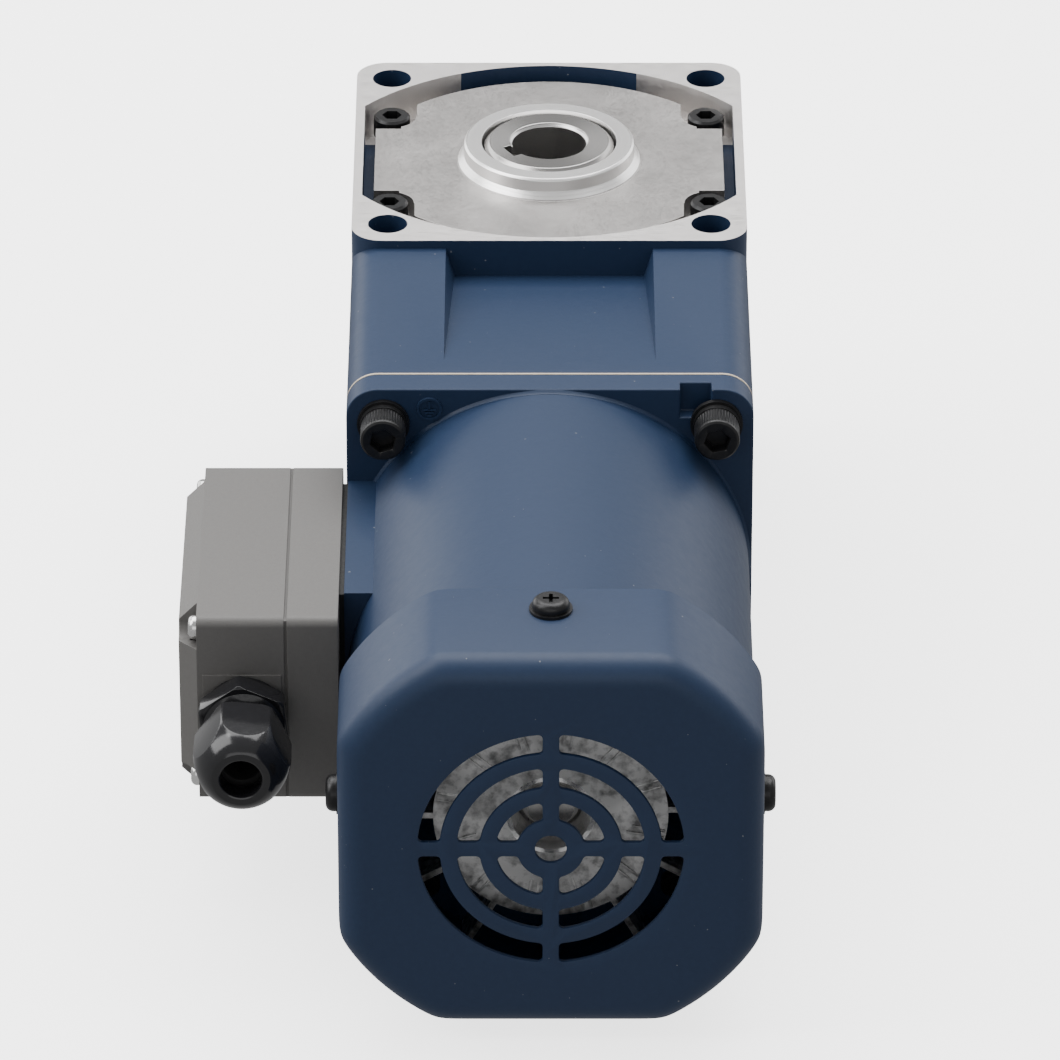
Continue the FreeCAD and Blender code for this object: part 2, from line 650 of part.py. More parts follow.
def bevel_tooth(points, tilt, pitch_radius, inner_share):
    """One straight bevel tooth about +Z, its pitch cone's apex at the origin.

    points are (height over the pitch cone, half width) in the plane of the tooth's large end."""
    distance = pitch_radius / math.sin(tilt)
    along = V(math.sin(tilt), 0, math.cos(tilt))
    outward = V(math.cos(tilt), 0, -math.sin(tilt))
    loop = [along * distance + outward * height + V(0, half, 0) for height, half in points]
    loop += [along * distance + outward * height - V(0, half, 0) for height, half in points[::-1]]
    large = Part.makePolygon(loop + [loop[0]])
    small = Part.makePolygon([point * inner_share for point in loop + [loop[0]]])
    return Part.makeLoft([large, small], True, True)


def bevel_profile(teeth, tilt, module, thinning):
    """Flank points of the equivalent spur tooth, as (height over the pitch line, half width)."""
    virtual = teeth / math.cos(tilt)
    pitch = module * virtual / 2
    outline = involute_outline(virtual, module, thinning, 0.8, 1.15)
    outline = [(outline[0][0] - 0.5, outline[0][1])] + outline
    return [(radius * math.cos(turn) - pitch, radius * math.sin(turn)) for radius, turn in outline]


def bevel_gear(teeth, other_teeth, pitch_radius, back, phase, thinning=0.18):
    """A straight bevel gear about +Z with its apex at the origin and its back face at z = back."""
    tilt = math.atan2(teeth, other_teeth)
    module = 2 * pitch_radius / teeth
    distance = pitch_radius / math.sin(tilt)
    share = 1 - size("bevel_face") / distance
    root = -1.15 * module
    outer = V(math.sin(tilt), 0, math.cos(tilt)) * distance + V(math.cos(tilt), 0, -math.sin(tilt)) * root
    inner = outer * share
    corners = [V(0, 0, inner.z), inner, outer, V(outer.x, 0, back), V(0, 0, back)]
    blank = Part.Face(Part.makePolygon(corners + [corners[0]])).revolve(V(), V(0, 0, 1), 360)
    tooth = bevel_tooth(bevel_profile(teeth, tilt, module, thinning), tilt, pitch_radius, share)
    turned = []
    for index in range(teeth):
        copy = tooth.copy()
        copy.rotate(V(), V(0, 0, 1), math.degrees(phase) + 360.0 * index / teeth)
        turned.append(copy)
    return blank.multiFuse(turned)


def make_ring_gear():
    """The bevel wheel, teeth up, keyed to the output shaft under its collar."""
    ring_radius = size("bevel_ring_radius")
    phase = mesh_phase(RING_TEETH, math.pi / 2, True)
    gear = bevel_gear(RING_TEETH, BEVEL_PINION_TEETH, ring_radius, 19, phase)
    gear = gear.fuse(Part.makeCylinder(22, 9, V(0, 0, 19)))
    gear = gear.cut(Part.makeCylinder(size("shaft_radius"), 40))
    gear = gear.cut(Part.makeCylinder(30, 10))
    gear = gear.cut(Part.makeBox(17.2, 6, 40, V(0, -3, 0)))
    gear.rotate(V(), V(1, 0, 0), 180)
    gear.translate(V(0, 0, -size("axis_drop")))
    return from_code("bevel_ring_gear", gear)


def make_bevel_pinion_shaft():
    """The bevel pinion and its shaft in one piece. Its own +Z runs from the apex back to the motor."""
    small_radius = size("bevel_ring_radius") * BEVEL_PINION_TEETH / RING_TEETH
    pinion = bevel_gear(BEVEL_PINION_TEETH, RING_TEETH, small_radius, 36,
                        mesh_phase(BEVEL_PINION_TEETH, -math.pi / 2, False))
    radius = size("pinion_shaft_radius")
    bar = shaft_steps([(9, 35, 40), (radius, 40, 72.4), (radius, 72.4, 84.2)])
    key_seat = Part.makeBox(2.4, 4, 10, V(5.2, -2, 73))
    shape = pinion.fuse(bar).cut(key_seat)
    shape.rotate(V(), V(1, 0, 0), 90)
    shape.translate(V(0, 0, -size("axis_drop")))
    return from_code("bevel_pinion_shaft", shape)


# ---------------------------------------------------------------- bearings

def make_bearings():
    """Every ball bearing. Rings and balls are grouped by what they turn with."""
    output_low = "-cavity_floor - output_bearing_width + 1"
    output_high = "-cover_recess - cover_thickness - output_bearing_width"
    sets = {
        "output": [("output_bearing_radius", "shaft_radius", "output_bearing_width", 13, ("0", "0", place_z), "+Z")
                   for place_z in (output_low, output_high)],
        "pinion": [("pinion_bearing_radius", "pinion_shaft_radius", "pinion_bearing_width", 9, behind(back), "-Y")
                   for back in ("-64", "-46")],
        "layshaft": [("lay_bearing_radius", "lay_shaft_radius", "lay_bearing_width", 7, lay_point(back), "-Y")
                     for back in ("-6.2", "-40")],
    }
    made = []
    built = {}
    for name, rows in sets.items():
        built[name] = [bearing("%s_bearing_%d" % (name, number), *row) for number, row in enumerate(rows)]
        made.append(group(name + "_bearing_inner_rings", *[rings[1] for rings in built[name]]))
    for name, rows in (("output", built["output"]), ("gear_train", built["pinion"] + built["layshaft"])):
        made.append(group(name + "_bearing_outer_rings", *[rings[0] for rings in rows]))
        made.append(group(name + "_bearing_balls", *[one for rings in rows for one in rings[2]]))
    front = bearing("front_motor_bearing", "front_bearing_radius", "front_journal", "front_bearing_width", 8,
                    behind("2"), "-Y")
    rear = bearing("rear_motor_bearing", "rear_bearing_radius", "rear_journal", "rear_bearing_width", 7,
                   behind("84"), "-Y")
    made.append(group("motor_bearing_outer_rings", front[0], rear[0]))
    made.append(group("motor_bearing_inner_rings", front[1], rear[1]))
    made.append(group("motor_bearing_balls", *front[2], *rear[2]))
    return made


def make_bearing_spacer():
    return tube("pinion_bearing_spacer", "pinion_bearing_radius", 13.5, 9, behind("-55"), "-Y")


# ---------------------------------------------------------------- gearbox rear plate

def make_rear_plate():
    """The plate that closes the gear chamber and carries the layshaft's rear bearing."""
    disc = cylinder("rear_plate_disc", "input_cavity_half - 0.2", 6, behind("-0.2"), "+Y")
    window = cylinder("motor_pinion_window", 9, 8, behind("1"), "+Y")
    seat = cylinder("rear_plate_bearing_seat", "lay_bearing_radius", "lay_bearing_width", lay_point("-1.2"), "+Y")
    holes = [cylinder("rear_plate_hole_%d" % number, 1.8, 8, lug_point(number, "1"), "+Y")
             for number in range(4)]
    recesses = [cylinder("rear_plate_recess_%d" % number, 3.2, 3.4, lug_point(number, "0.2"), "+Y")
                for number in range(4)]
    return cut("gearbox_rear_plate", disc, window, seat, *holes, *recesses)


def make_rear_plate_screws():
    screws = [socket_screw("rear_plate_screw_%d" % number, 1.5, 10, 2.75, 3, lug_point(number, "-3.2"), "+Y")
              for number in range(4)]
    return group("rear_plate_screws", *screws)


# ---------------------------------------------------------------- motor flange and its fasteners

CORNERS = ("mount_spacing / 2", "mount_spacing / 2")


def square_flange(name, start, thickness, corners_name):
    """A square plate across the motor axis, with rounded corners."""
    made = body(name, behind(start), "-Y")
    outline = sketch(made, name + "_outline")
    draw_rectangle(outline, "frame_width / 2", "frame_width / 2")
    pad(made, name + "_pad", outline, thickness)
    round_corners(made, corners_name, "corner_radius")
    return made


def make_flange_gasket():
    plate = square_flange("gasket_square", "0", "seam_thickness", "gasket_corners")
    hole = cylinder("gasket_hole", "flange_screw_radius + 0.3", 3, behind("-1", *CORNERS), "-Y")
    return cut("flange_gasket", plate, cylinder("gasket_window", "input_cavity_half", 3, behind("-1"), "-Y"),
               four_ways("gasket_holes", hole, (1, 0, 0), (0, 0, 1), AXIS_PLANE))


def make_motor_flange():
    plate = square_flange("flange_square", "seam_thickness", "flange_thickness - seam_thickness",
                          "flange_corners")
    hub = cylinder("flange_hub", 21, 7, behind("7"), "-Y")
    register = cylinder("flange_register", "motor_inner_radius - 0.02", 3, behind("7"), "-Y")
    relief = cylinder("register_relief", 38, 3.5, behind("flange_thickness"), "-Y")
    ring = cut("flange_register_ring", register, relief)
    seat = cylinder("front_bearing_seat", "front_bearing_radius", "front_bearing_width + 2", behind("2"), "-Y")
    bore = cylinder("flange_bore", 11, 20, behind("-1"), "-Y")
    hole = cylinder("flange_clearance", "flange_screw_radius + 0.3", 12, behind("-1", *CORNERS), "-Y")
    holes = four_ways("flange_clearances", hole, (1, 0, 0), (0, 0, 1), AXIS_PLANE)
    notch = box("flange_notch", (6.9, 3.3, 8), ("28.7", "-seam_offset - flange_thickness", "38 - axis_drop"))
    return cut("motor_flange", fuse("flange_blank", plate, hub, ring), seat, bore, holes, notch)


def make_motor_shaft_seal():
    return tube("motor_shaft_seal", "11", "6.06", "1.3", behind("seam_thickness"), "-Y")


def make_flange_fasteners():
    """At each corner of the flange: a cap screw, a split spring washer and a flat washer."""
    face = "flange_thickness"
    flat = tube("flange_flat_washer", "5.8", "flange_screw_radius + 0.2", 1.2, behind(face, *CORNERS), "-Y")
    ring = tube("flange_spring_ring", "5.2", "flange_screw_radius + 0.2", 1.5,
                behind(face + " + 1.2", *CORNERS), "-Y")
    gap = box("spring_gap", (4, 3, 0.7), ("mount_spacing / 2 + 2", "-seam_offset - flange_thickness - 4",
                                          "mount_spacing / 2 - axis_drop - 0.35"))
    split = cut("flange_spring_washer", ring, gap)
    screw = socket_screw("flange_screw", "flange_screw_radius", 24, "flange_screw_head", 6,
                         behind(face + " + 2.7", *CORNERS), "+Y")
    return [four_ways("flange_washers", flat, (1, 0, 0), (0, 0, 1), AXIS_PLANE),
            four_ways("flange_spring_washers", split, (1, 0, 0), (0, 0, 1), AXIS_PLANE),
            four_ways("flange_screws", screw, (1, 0, 0), (0, 0, 1), AXIS_PLANE)]


# ---------------------------------------------------------------- motor

def make_stator_housing():
    """The motor's cylindrical casing, with the flat pad that carries the terminal box."""
    barrel = cylinder("stator_barrel", "motor_radius", "motor_end - flange_thickness", behind("flange_thickness"), "-Y")
    block = box("terminal_pad", ("pad_face - 30", "pad_end - flange_thickness", "2 * pad_half_height"),
                ("-pad_face", "-seam_offset - pad_end", "-pad_half_height - axis_drop"))
    inside = cylinder("stator_inside", "motor_inner_radius", "motor_end", behind("flange_thickness - 1"), "-Y")
    window = lead_window("lead_window", "48")
    shell = cut("stator_shell", fuse("stator_outside", barrel, block), inside, window)
    lug = cylinder("shield_lug", "shield_lug_radius", 9, behind("motor_end - 9", *SHIELD_SPOT), "-Y")
    drilling = cylinder("shield_lug_hole", 1.55, 12, behind("motor_end - 11", *SHIELD_SPOT), "-Y")
    lugs = four_ways("shield_lugs", lug, (1, 0, 0), (0, 0, 1), AXIS_PLANE)
    drillings = four_ways("shield_lug_holes", drilling, (1, 0, 0), (0, 0, 1), AXIS_PLANE)
    inserts = [cylinder("base_insert_%d" % number, 1.55, 5, base_point(number, "pad_face + 1"), "+X")
               for number in range(4)]
    return cut("stator_housing", fuse("stator_with_lugs", shell, lugs), drillings, *inserts)


SHIELD_SPOT = ("shield_screw_place", "shield_screw_place")
BASE_SCREW_SPOTS = (("14", "14"), ("14", "-14"), ("50", "14"), ("50", "-14"))


def base_point(number, outward):
    """A point on the line of one of the screws that hold the terminal box."""
    across, up = BASE_SCREW_SPOTS[number]
    return ("-(%s)" % outward, "-seam_offset - %s" % across, "%s - axis_drop" % up)


def make_stator_core():
    """Laminated core with 24 open slots round its bore."""
    core = body("stator_core", behind("core_start"), "-Y")
    ring = sketch(core, "core_outline")
    draw_circle(ring, "motor_inner_radius")
    pad(core, "core_pad", ring, "core_length")
    hole = sketch(core, "core_bore_outline")
    draw_circle(hole, "core_bore_radius")
    pocket(core, "core_bore", hole, "core_length", reverse=True)
    slot = sketch(core, "slot_outline")
    first = slot.GeometryCount
    corners = [V(20, -1.2, 0), V(36, -2, 0), V(36, 2, 0), V(20, 1.2, 0)]
    for index in range(4):
        slot.addGeometry(Part.LineSegment(corners[index], corners[(index + 1) % 4]))
    for index in range(4):
        slot.addConstraint(Sketcher.Constraint("Coincident", first + index, 2, first + (index + 1) % 4, 1))
    slots = pocket(core, "core_slot", slot, "core_length", reverse=True)
    doc.recompute()
    pattern = core.newObject("PartDesign::PolarPattern", "core_slots")
    pattern.Originals = [slots]
    pattern.Axis = (slot, ["N_Axis"])
    pattern.Angle = 360
    pattern.Occurrences = 24
    core.Tip = pattern
    return core


def make_windings():
    """The two end turns of the winding, one at each end of the core."""
    ends = []
    for name, start in (("front", "core_start - 10.5"), ("rear", "core_start + core_length")):
        ring = tube("winding_%s_ring" % name, 38.5, 27, 10.5, behind(start), "-Y")
        ends.append(rounded("winding_" + name, ring, 3, lambda edge: edge.Curve.TypeId == "Part::GeomCircle"))
    return group("stator_windings", *ends)


def make_rotor():
    core = tube("rotor_core", "rotor_radius", 8.5, "core_length", behind("core_start"), "-Y")
    rings = [tube("rotor_end_ring_%d" % number, 23, 14, 5, behind(start), "-Y")
             for number, start in enumerate(("core_start - 5", "core_start + core_length"))]
    return [core, group("rotor_end_rings", *rings)]


def make_end_shield():
    """The rear bearing shield, whose rim carries the cowl."""
    rim = tube("shield_rim", "shield_radius", "shield_radius - 3", "shield_end - motor_end",
               behind("motor_end"), "-Y")
    collar = tube("shield_collar", "motor_radius", "shield_radius - 3", "cowl_start - motor_end - 0.2",
                  behind("motor_end"), "-Y")
    web = cylinder("shield_web", "shield_radius - 2", 4, behind("motor_end"), "-Y")
    register = tube("shield_register", "motor_inner_radius - 0.02", 39.5, 2.5, behind("motor_end - 2.4"), "-Y")
    hub = cylinder("shield_hub", 19.5, 14, behind("motor_end - 10"), "-Y")
    seat = cylinder("rear_bearing_seat", "rear_bearing_radius", 12.2, behind("motor_end - 10.2"), "-Y")
    bore = cylinder("shield_bore", 6.5, 20, behind("motor_end - 11"), "-Y")
    hole = cylinder("shield_clearance", 1.8, 8, behind("motor_end - 3", *SHIELD_SPOT), "-Y")
    holes = four_ways("shield_clearances", hole, (1, 0, 0), (0, 0, 1), AXIS_PLANE)
    radial = [cylinder("cowl_tapping_%d" % number, 1.55, 8, point, along)
              for number, (point, along) in enumerate(cowl_screw_spots("shield_radius + 1"))]
    relief = cylinder("register_clearance", "shield_lug_radius + 0.1", 2.4,
                      behind("motor_end - 2.4", *SHIELD_SPOT), "-Y")
    ring = cut("shield_register_cut", register,
               four_ways("register_reliefs", relief, (1, 0, 0), (0, 0, 1), AXIS_PLANE))
    return cut("rear_end_shield", fuse("shield_blank", rim, collar, web, ring, hub), seat, bore, holes, *radial)


def make_shield_screws():
    screw = socket_screw("shield_screw", 1.5, 9, 2.75, 3, behind("motor_end + 4", *SHIELD_SPOT), "+Y")
    return four_ways("end_shield_screws", screw, (1, 0, 0), (0, 0, 1), AXIS_PLANE)


def make_wave_washer():
    return tube("bearing_wave_washer", 15.5, 13, 0.6, behind("motor_end + 1.2"), "-Y")


def make_fan():
    """A cast fan: hub with a deep dish, disc, and straight radial blades on the motor side of the disc."""
    hub = cylinder("fan_hub", 10.5, 12, behind("fan_disc_end - 12"), "-Y")
    disc = cylinder("fan_disc", 25, 1.6, behind("fan_disc_end - 1.6"), "-Y")
    blades = []
    count = 12
    for index in range(count):
        blade = box("fan_blade_%d" % index, ("fan_radius - 8", 1.4, 9.5))
        blade.Placement = FreeCAD.Placement(V(), FreeCAD.Rotation(V(0, 1, 0), 360.0 * index / count)
                                            * FreeCAD.Rotation(V(1, 0, 0), 90))
        angle = 2 * math.pi * index / count
        blade.setExpression("Placement.Base.x", formula("8 * %.6f" % math.cos(angle)))
        blade.setExpression("Placement.Base.z", formula("-axis_drop - 8 * %.6f" % math.sin(angle)))
        blade.setExpression("Placement.Base.y", formula("-seam_offset - fan_disc_end + 10.5"))
        blades.append(blade)
    dish = cone("fan_dish", 6.4, 8.5, 6.5, behind("fan_disc_end - 6.4"), "-Y")
    return cut("cooling_fan", fuse("fan_blank", hub, disc, *blades), dish,
               cylinder("fan_bore", 5, 30, behind("fan_disc_end - 20"), "-Y"))


def make_fan_ring():
    return tube("fan_retaining_ring", 6.2, 5, 0.9, behind("fan_disc_end - 6.4"), "-Y")


# ---------------------------------------------------------------- cowl

def cowl_form(name, half, corner, start, end):
    """The cowl's outline: a square whose corners lie on a circle."""
    square = box(name + "_square", ("2 * (%s)" % half, "(%s) - (%s)" % (end, start), "2 * (%s)" % half),
                 ("-(%s)" % half, "-seam_offset - (%s)" % end, "-(%s) - axis_drop" % half))
    circle = cylinder(name + "_circle", corner, "(%s) - (%s)" % (end, start), behind(start), "-Y")
    return common(name, square, circle)


def slot_sector(name, outer, inner, thickness):
    """One quarter of a ring of vents, short of the ribs that cross it."""
    ring = tube(name + "_ring", outer, inner, thickness, behind("cowl_end - 2"), "-Y")
    corner = box(name + "_quarter", (40, thickness, 40),
                 ("rib_half_width", "-seam_offset - cowl_end - 1", "rib_half_width - axis_drop"))
    return common(name, ring, corner)


VENT_RINGS = (("outer_vent", 28.2, 23.5), ("middle_vent", 19.9, 15.1), ("inner_vent", 11.6, 7.2))


def make_cowl():
    """The pressed cowl, with three rings of vents and a centre hole in its end."""
    outer = cowl_form("cowl_outer", "cowl_half", "cowl_corner_radius", "cowl_start", "cowl_end")
    outer = rounded("cowl_rounded", outer, size("cowl_edge"), lies_at_back)
    inner = cowl_form("cowl_inner", "cowl_half - cowl_wall", "cowl_corner_radius - cowl_wall",
                      "cowl_start - 1", "cowl_end - 1.2")
    inner = rounded("cowl_hollow", inner, size("cowl_edge") - 1, lies_at_back)
    quarters = []
    for name, ring_outer, ring_inner in VENT_RINGS:
        sector = slot_sector(name, ring_outer, ring_inner, 3)
        quarters.append(four_ways(name + "s", sector, (1, 0, 0), (0, 0, 1), AXIS_PLANE))
    centre = cylinder("centre_hole", 3.35, 4, behind("cowl_end - 3"), "-Y")
    holes = [cylinder("cowl_screw_hole_%d" % number, 1.8, 4, point, along)
             for number, (point, along) in enumerate(cowl_screw_spots("cowl_half + 1"))]
    return cut("fan_cowl", outer, inner, *quarters, centre, *holes)


def lies_at_back(edge):
    """Whether every point of an edge is at the far -Y end of what it belongs to."""
    back = min(point.Point.y for point in edge.Vertexes)
    deep = -size("seam_offset") - size("cowl_end")
    return all(abs(point.Point.y - back) < 1e-6 for point in edge.Vertexes) and back < deep + 1.3


def cowl_screw_spots(reach):
    """Where the cowl's screws go in, and their directions: top, bottom and both sides."""
    return ((behind("cowl_screw_place", "0", reach), "-Z"),
            (behind("cowl_screw_place", "0", "-(%s)" % reach), "+Z"),
            (behind("cowl_screw_place", reach), "-X"),
            (behind("cowl_screw_place", "-(%s)" % reach), "+X"))


def pan_screw(name, radius, length, head_radius, head_height, at, along):
    """A cross-recess pan head screw. It points along its direction, with its head behind the start point."""
    turn = TURNS[along].multVec(V(0, 0, 1))
    back = ["(%s) - (%s) * (%s)" % (text, head_height, step) for text, step in zip(at, turn)]
    head = cylinder(name + "_head", head_radius, head_height, back, along)
    head = rounded(name + "_crown", head, 0.7 * float(head_height), lambda edge: is_rim(edge, head, turn, 0))
    blank = fuse(name + "_blank", head, cylinder(name + "_shank", radius, length, at, along))
    wings = []
    for number, (wide, deep) in enumerate(((3.4, 0.8), (0.8, 3.4))):
        wing = box("%s_wing_%d" % (name, number), (wide, deep, 1.6))
        shift = TURNS[along].multVec(V(-wide / 2, -deep / 2, -0.3))
        place(wing, ["(%s) + (%.6f)" % (text, step) for text, step in zip(back, shift)], along)
        wings.append(wing)
    return cut(name, blank, *wings)


def make_cowl_fasteners():
    screws, washers = [], []
    for number, (point, along) in enumerate(cowl_screw_spots("cowl_half + 0.6")):
        screws.append(pan_screw("cowl_screw_%d" % number, 1.5, 4.2, 4, 2.3, point, along))
        washers.append(tube("cowl_washer_%d" % number, 4.6, 1.7, 0.6, point, along))
    return [group("cowl_screws", *screws), group("cowl_washers", *washers)]


# ---------------------------------------------------------------- terminal box

def box_block(name, inner, outer, margin):
    """A block of the terminal box between two distances from the motor axis, inside a margin."""
    return box(name, ("(%s) - (%s)" % (outer, inner), "box_front - box_back - 2 * (%s)" % margin,
                      "2 * (box_half_height - (%s))" % margin),
               ("-(%s)" % outer, "-seam_offset - box_front + (%s)" % margin,
                "-axis_drop - box_half_height + (%s)" % margin))


LID_SPOTS = (("6", "18.4"), ("6", "-18.4"), ("65.9", "18.4"), ("65.9", "-18.4"))


def lid_point(number, outward):
    """A point on the line of one lid screw."""
    across, up = LID_SPOTS[number]
    return ("-(%s)" % outward, "-seam_offset - %s" % across, "%s - axis_drop" % up)


def lead_window(name, outward):
    """The round way for the motor's leads, from a distance out through to the winding."""
    return cylinder(name, 6, 12, ("-(%s)" % outward, "-seam_offset - 33", "-axis_drop"), "+X")


def make_box_gasket():
    pad_sheet = box("pad_gasket", ("box_inner - pad_face", "pad_end - 8.5", "2 * pad_half_height - 1"),
                    ("-box_inner", "-seam_offset - pad_end + 0.3", "-axis_drop - pad_half_height + 0.5"))
    window = lead_window("gasket_lead_window", "box_inner + 1")
    holes = [cylinder("box_gasket_hole_%d" % number, 1.8, 4, base_point(number, "box_inner + 1"), "+X")
             for number in range(4)]
    return cut("terminal_box_gasket", pad_sheet, window, *holes)


def make_box_base():
    outside = rounded("base_outside", box_block("base_block", "box_inner", "box_seam", "0"), 2,
                      lambda edge: is_straight_along(edge, V(1, 0, 0)))
    inside = box_block("base_inside", "box_inner + box_wall", "box_seam + 1", "box_wall")
    posts = [cylinder("base_post_%d" % number, 3.6, "box_seam - box_inner - 0.5",
                      lid_point(number, "box_inner + 0.5"), "-X") for number in range(4)]
    holes = [cylinder("base_post_hole_%d" % number, 1.6, 12, lid_point(number, "box_inner + 1.5"), "-X")
             for number in range(4)]
    window = lead_window("base_lead_window", "box_inner + box_wall + 1")
    feet = [cylinder("base_foot_hole_%d" % number, 1.8, 6, base_point(number, "box_inner + box_wall + 1"), "+X")
            for number in range(4)]
    shell = fuse("base_shell", cut("base_tray", outside, inside), *posts)
    return cut("terminal_box_base", shell, *holes, window, *feet)


def make_lid_seal():
    return cut("lid_seal", box_block("lid_seal_block", "box_seam", "box_seam + 0.6", "0.6"),
               box_block("lid_seal_hole", "box_seam - 1", "box_seam + 2", "box_wall"))


def make_box_lid():
    """The deep lid: bevelled outer face, an open pocket with a screw pillar in each corner, a gland hole."""
    outside = bevelled("lid_bevelled", box_block("lid_block", "box_seam + 0.6", "box_outer", "0"),
                       size("box_outer") - size("box_step"), lies_on_lid_face)
    outside = rounded("lid_outside", outside, 2, lambda edge: is_straight_along(edge, V(1, 0, 0)))
    inside = box_block("lid_inside", "box_seam", "box_outer - box_wall", "box_wall + 1.6")
    pillars = [cylinder("lid_pillar_%d" % number, 4, "box_step - box_seam - 0.6",
                        lid_point(number, "box_seam + 0.6"), "-X") for number in range(4)]
    panel = box("gland_panel", (17, 0.9, 18), ("-box_step + 1.2", "-seam_offset - box_front - 0.4", "-axis_drop - 9"))
    shell = fuse("lid_shell", cut("lid_hollow", outside, inside), panel, *pillars)
    pockets = [make_lid_pocket(number) for number in range(4)]
    holes = [cylinder("lid_screw_hole_%d" % number, 1.8, 40, lid_point(number, "box_seam - 1"), "-X")
             for number in range(4)]
    gland = cylinder("lid_gland_hole", 6.1, 10, ("-gland_x", "-seam_offset - box_front + 8", "-axis_drop"), "-Y")
    return cut("terminal_box_lid", shell, *pockets, *holes, gland)


def make_lid_pocket(number):
    """The square corner that is cut from the lid's bevelled face round one screw, rounded on its inside."""
    reach, spare = 7.4, 3.0
    across = "-seam_offset - box_front - %s" % spare
    if float(LID_SPOTS[number][0]) < 30:
        across = "-seam_offset - box_back - %s" % reach
    up = "box_half_height - %s - axis_drop" % reach
    if LID_SPOTS[number][1].startswith("-"):
        up = "-box_half_height - %s - axis_drop" % spare
    side = "%s + %s" % (reach, spare)
    made = box("lid_pocket_block_%d" % number, (8, side, side), ("-box_step - 8", across, up))
    return rounded("lid_pocket_%d" % number, made, 3, lambda edge: is_straight_along(edge, V(1, 0, 0)))


def lies_on_lid_face(edge):
    outer = -size("box_outer")
    return all(abs(point.Point.x - outer) < 1e-6 for point in edge.Vertexes)


def make_box_screws():
    lid = [pan_screw("lid_screw_%d" % number, 1.5, 26, 2.7, 1.9, lid_point(number, "box_step"), "+X")
           for number in range(4)]
    base = [pan_screw("base_screw_%d" % number, 1.5, 7, 2.8, 1.8, base_point(number, "box_inner + box_wall"), "+X")
            for number in range(4)]
    return [group("lid_screws", *lid), group("base_screws", *base)]


def make_terminal_block():
    """A moulded strip with six clamps, on the floor of the box."""
    floor = "box_inner + box_wall"
    strip = box("terminal_strip", (9, 9.6, 30), ("-(%s) - 9" % floor, "-seam_offset - 27", "-axis_drop - 15"))
    wells, screws = [], []
    for number in range(6):
        row = ("-seam_offset - 22.2", "-axis_drop - 12.5 + %d" % (5 * number))
        wells.append(cylinder("terminal_well_%d" % number, 1.9, 6, ("-(%s) - 10" % floor, *row), "+X"))
        screws.append(cylinder("terminal_screw_%d" % number, 1.7, 4, ("-(%s) - 8" % floor, *row), "+X"))
    return [cut("terminal_block", strip, *wells), group("terminal_screws", *screws)]


# ---------------------------------------------------------------- cable gland

def gland_point(distance):
    """A point on the gland's axis, a distance out from the front of the terminal box."""
    return ("-gland_x", "-seam_offset - box_front - (%s)" % distance, "-axis_drop")


def make_gland():
    """A cable gland: hexagon body, dome nut, rubber grip, flat washer and the locknut inside the box."""
    flats = bevelled("gland_hexagon", prism("gland_hexagon_bar", 6, 10.7, 5.2, gland_point("2.6"), "-Y", 36), 0.4,
                     lambda edge: edge.Length > 10)
    collar = cylinder("gland_collar", 8.8, 1.8, gland_point("0.8"), "-Y")
    neck = cylinder("gland_neck", 9, 6, gland_point("7.8"), "-Y")
    spigot = cylinder("gland_spigot", 6, 12.8, gland_point("-12"), "-Y")
    body_bore = cylinder("gland_bore", 4.8, 40, gland_point("-13"), "-Y")
    seal_seat = cylinder("gland_seal_seat", 7.5, 9, gland_point("6.8"), "-Y")
    base = cut("gland_body", fuse("gland_blank", flats, collar, neck, spigot), body_bore, seal_seat)
    barrel = prism("gland_nut_bar", 6, 10.7, 8.5, gland_point("12.2"), "-Y", 54)
    dome = cylinder("gland_dome", 9.6, "gland_reach - 12.2", gland_point("12.2"), "-Y")
    dome = rounded("gland_dome_round", dome, 6, lambda edge: is_rim(edge, dome, V(0, 1, 0), 0))
    nut_bore = cylinder("gland_nut_bore", "gland_hole_radius", 40, gland_point("0"), "-Y")
    nut_thread = cylinder("gland_nut_thread", 9.02, 2, gland_point("12.1"), "-Y")
    nut_cavity = cylinder("gland_nut_cavity", 7.6, 11.8, gland_point("12.1"), "-Y")
    nut = cut("gland_nut", fuse("gland_nut_blank", barrel, dome), nut_bore, nut_thread, nut_cavity)
    seal = tube("gland_seal", 7.4, 4.2, 15, gland_point("7"), "-Y")
    washer = tube("gland_washer", 8.6, 6.05, 0.4, gland_point("0.4"), "-Y")
    locknut = cut("gland_locknut", prism("gland_locknut_bar", 6, 9, 3, gland_point("-7.2"), "-Y"),
                  cylinder("gland_locknut_bore", 6, 5, gland_point("-8"), "-Y"))
    return [base, nut, seal, washer, locknut]


# ---------------------------------------------------------------- assembly

def make_nodes():
    nodes = [make_gearbox_housing(), make_output_cover(), make_cover_gasket(), make_cover_screws(),
             make_output_seals(), make_output_shaft(), make_gear_key(), make_ring_gear(),
             make_bevel_pinion_shaft(), make_second_stage_gear(), make_second_stage_key(), make_layshaft(),
             make_layshaft_gear(), make_layshaft_key(), make_bearing_spacer(), make_rear_plate(),
             make_rear_plate_screws(), make_flange_gasket(), make_motor_flange(), make_motor_shaft_seal(),
             make_stator_housing(), make_stator_core(), make_windings(), make_motor_shaft(),
             make_end_shield(), make_shield_screws(), make_wave_washer(), make_fan(), make_fan_ring(),
             make_cowl(), make_box_gasket(), make_box_base(), make_lid_seal(), make_box_lid()]
    nodes += make_bearings() + make_flange_fasteners() + make_rotor() + make_cowl_fasteners()
    nodes += make_box_screws() + make_terminal_block() + make_gland()
    return nodes


def check_document():
    """Stops at any object that failed to build."""
    for thing in doc.Objects:
        faults = [state for state in thing.State if state in ("Invalid", "Error")]
        if faults:
            raise RuntimeError("%s is %s" % (thing.Label, faults))


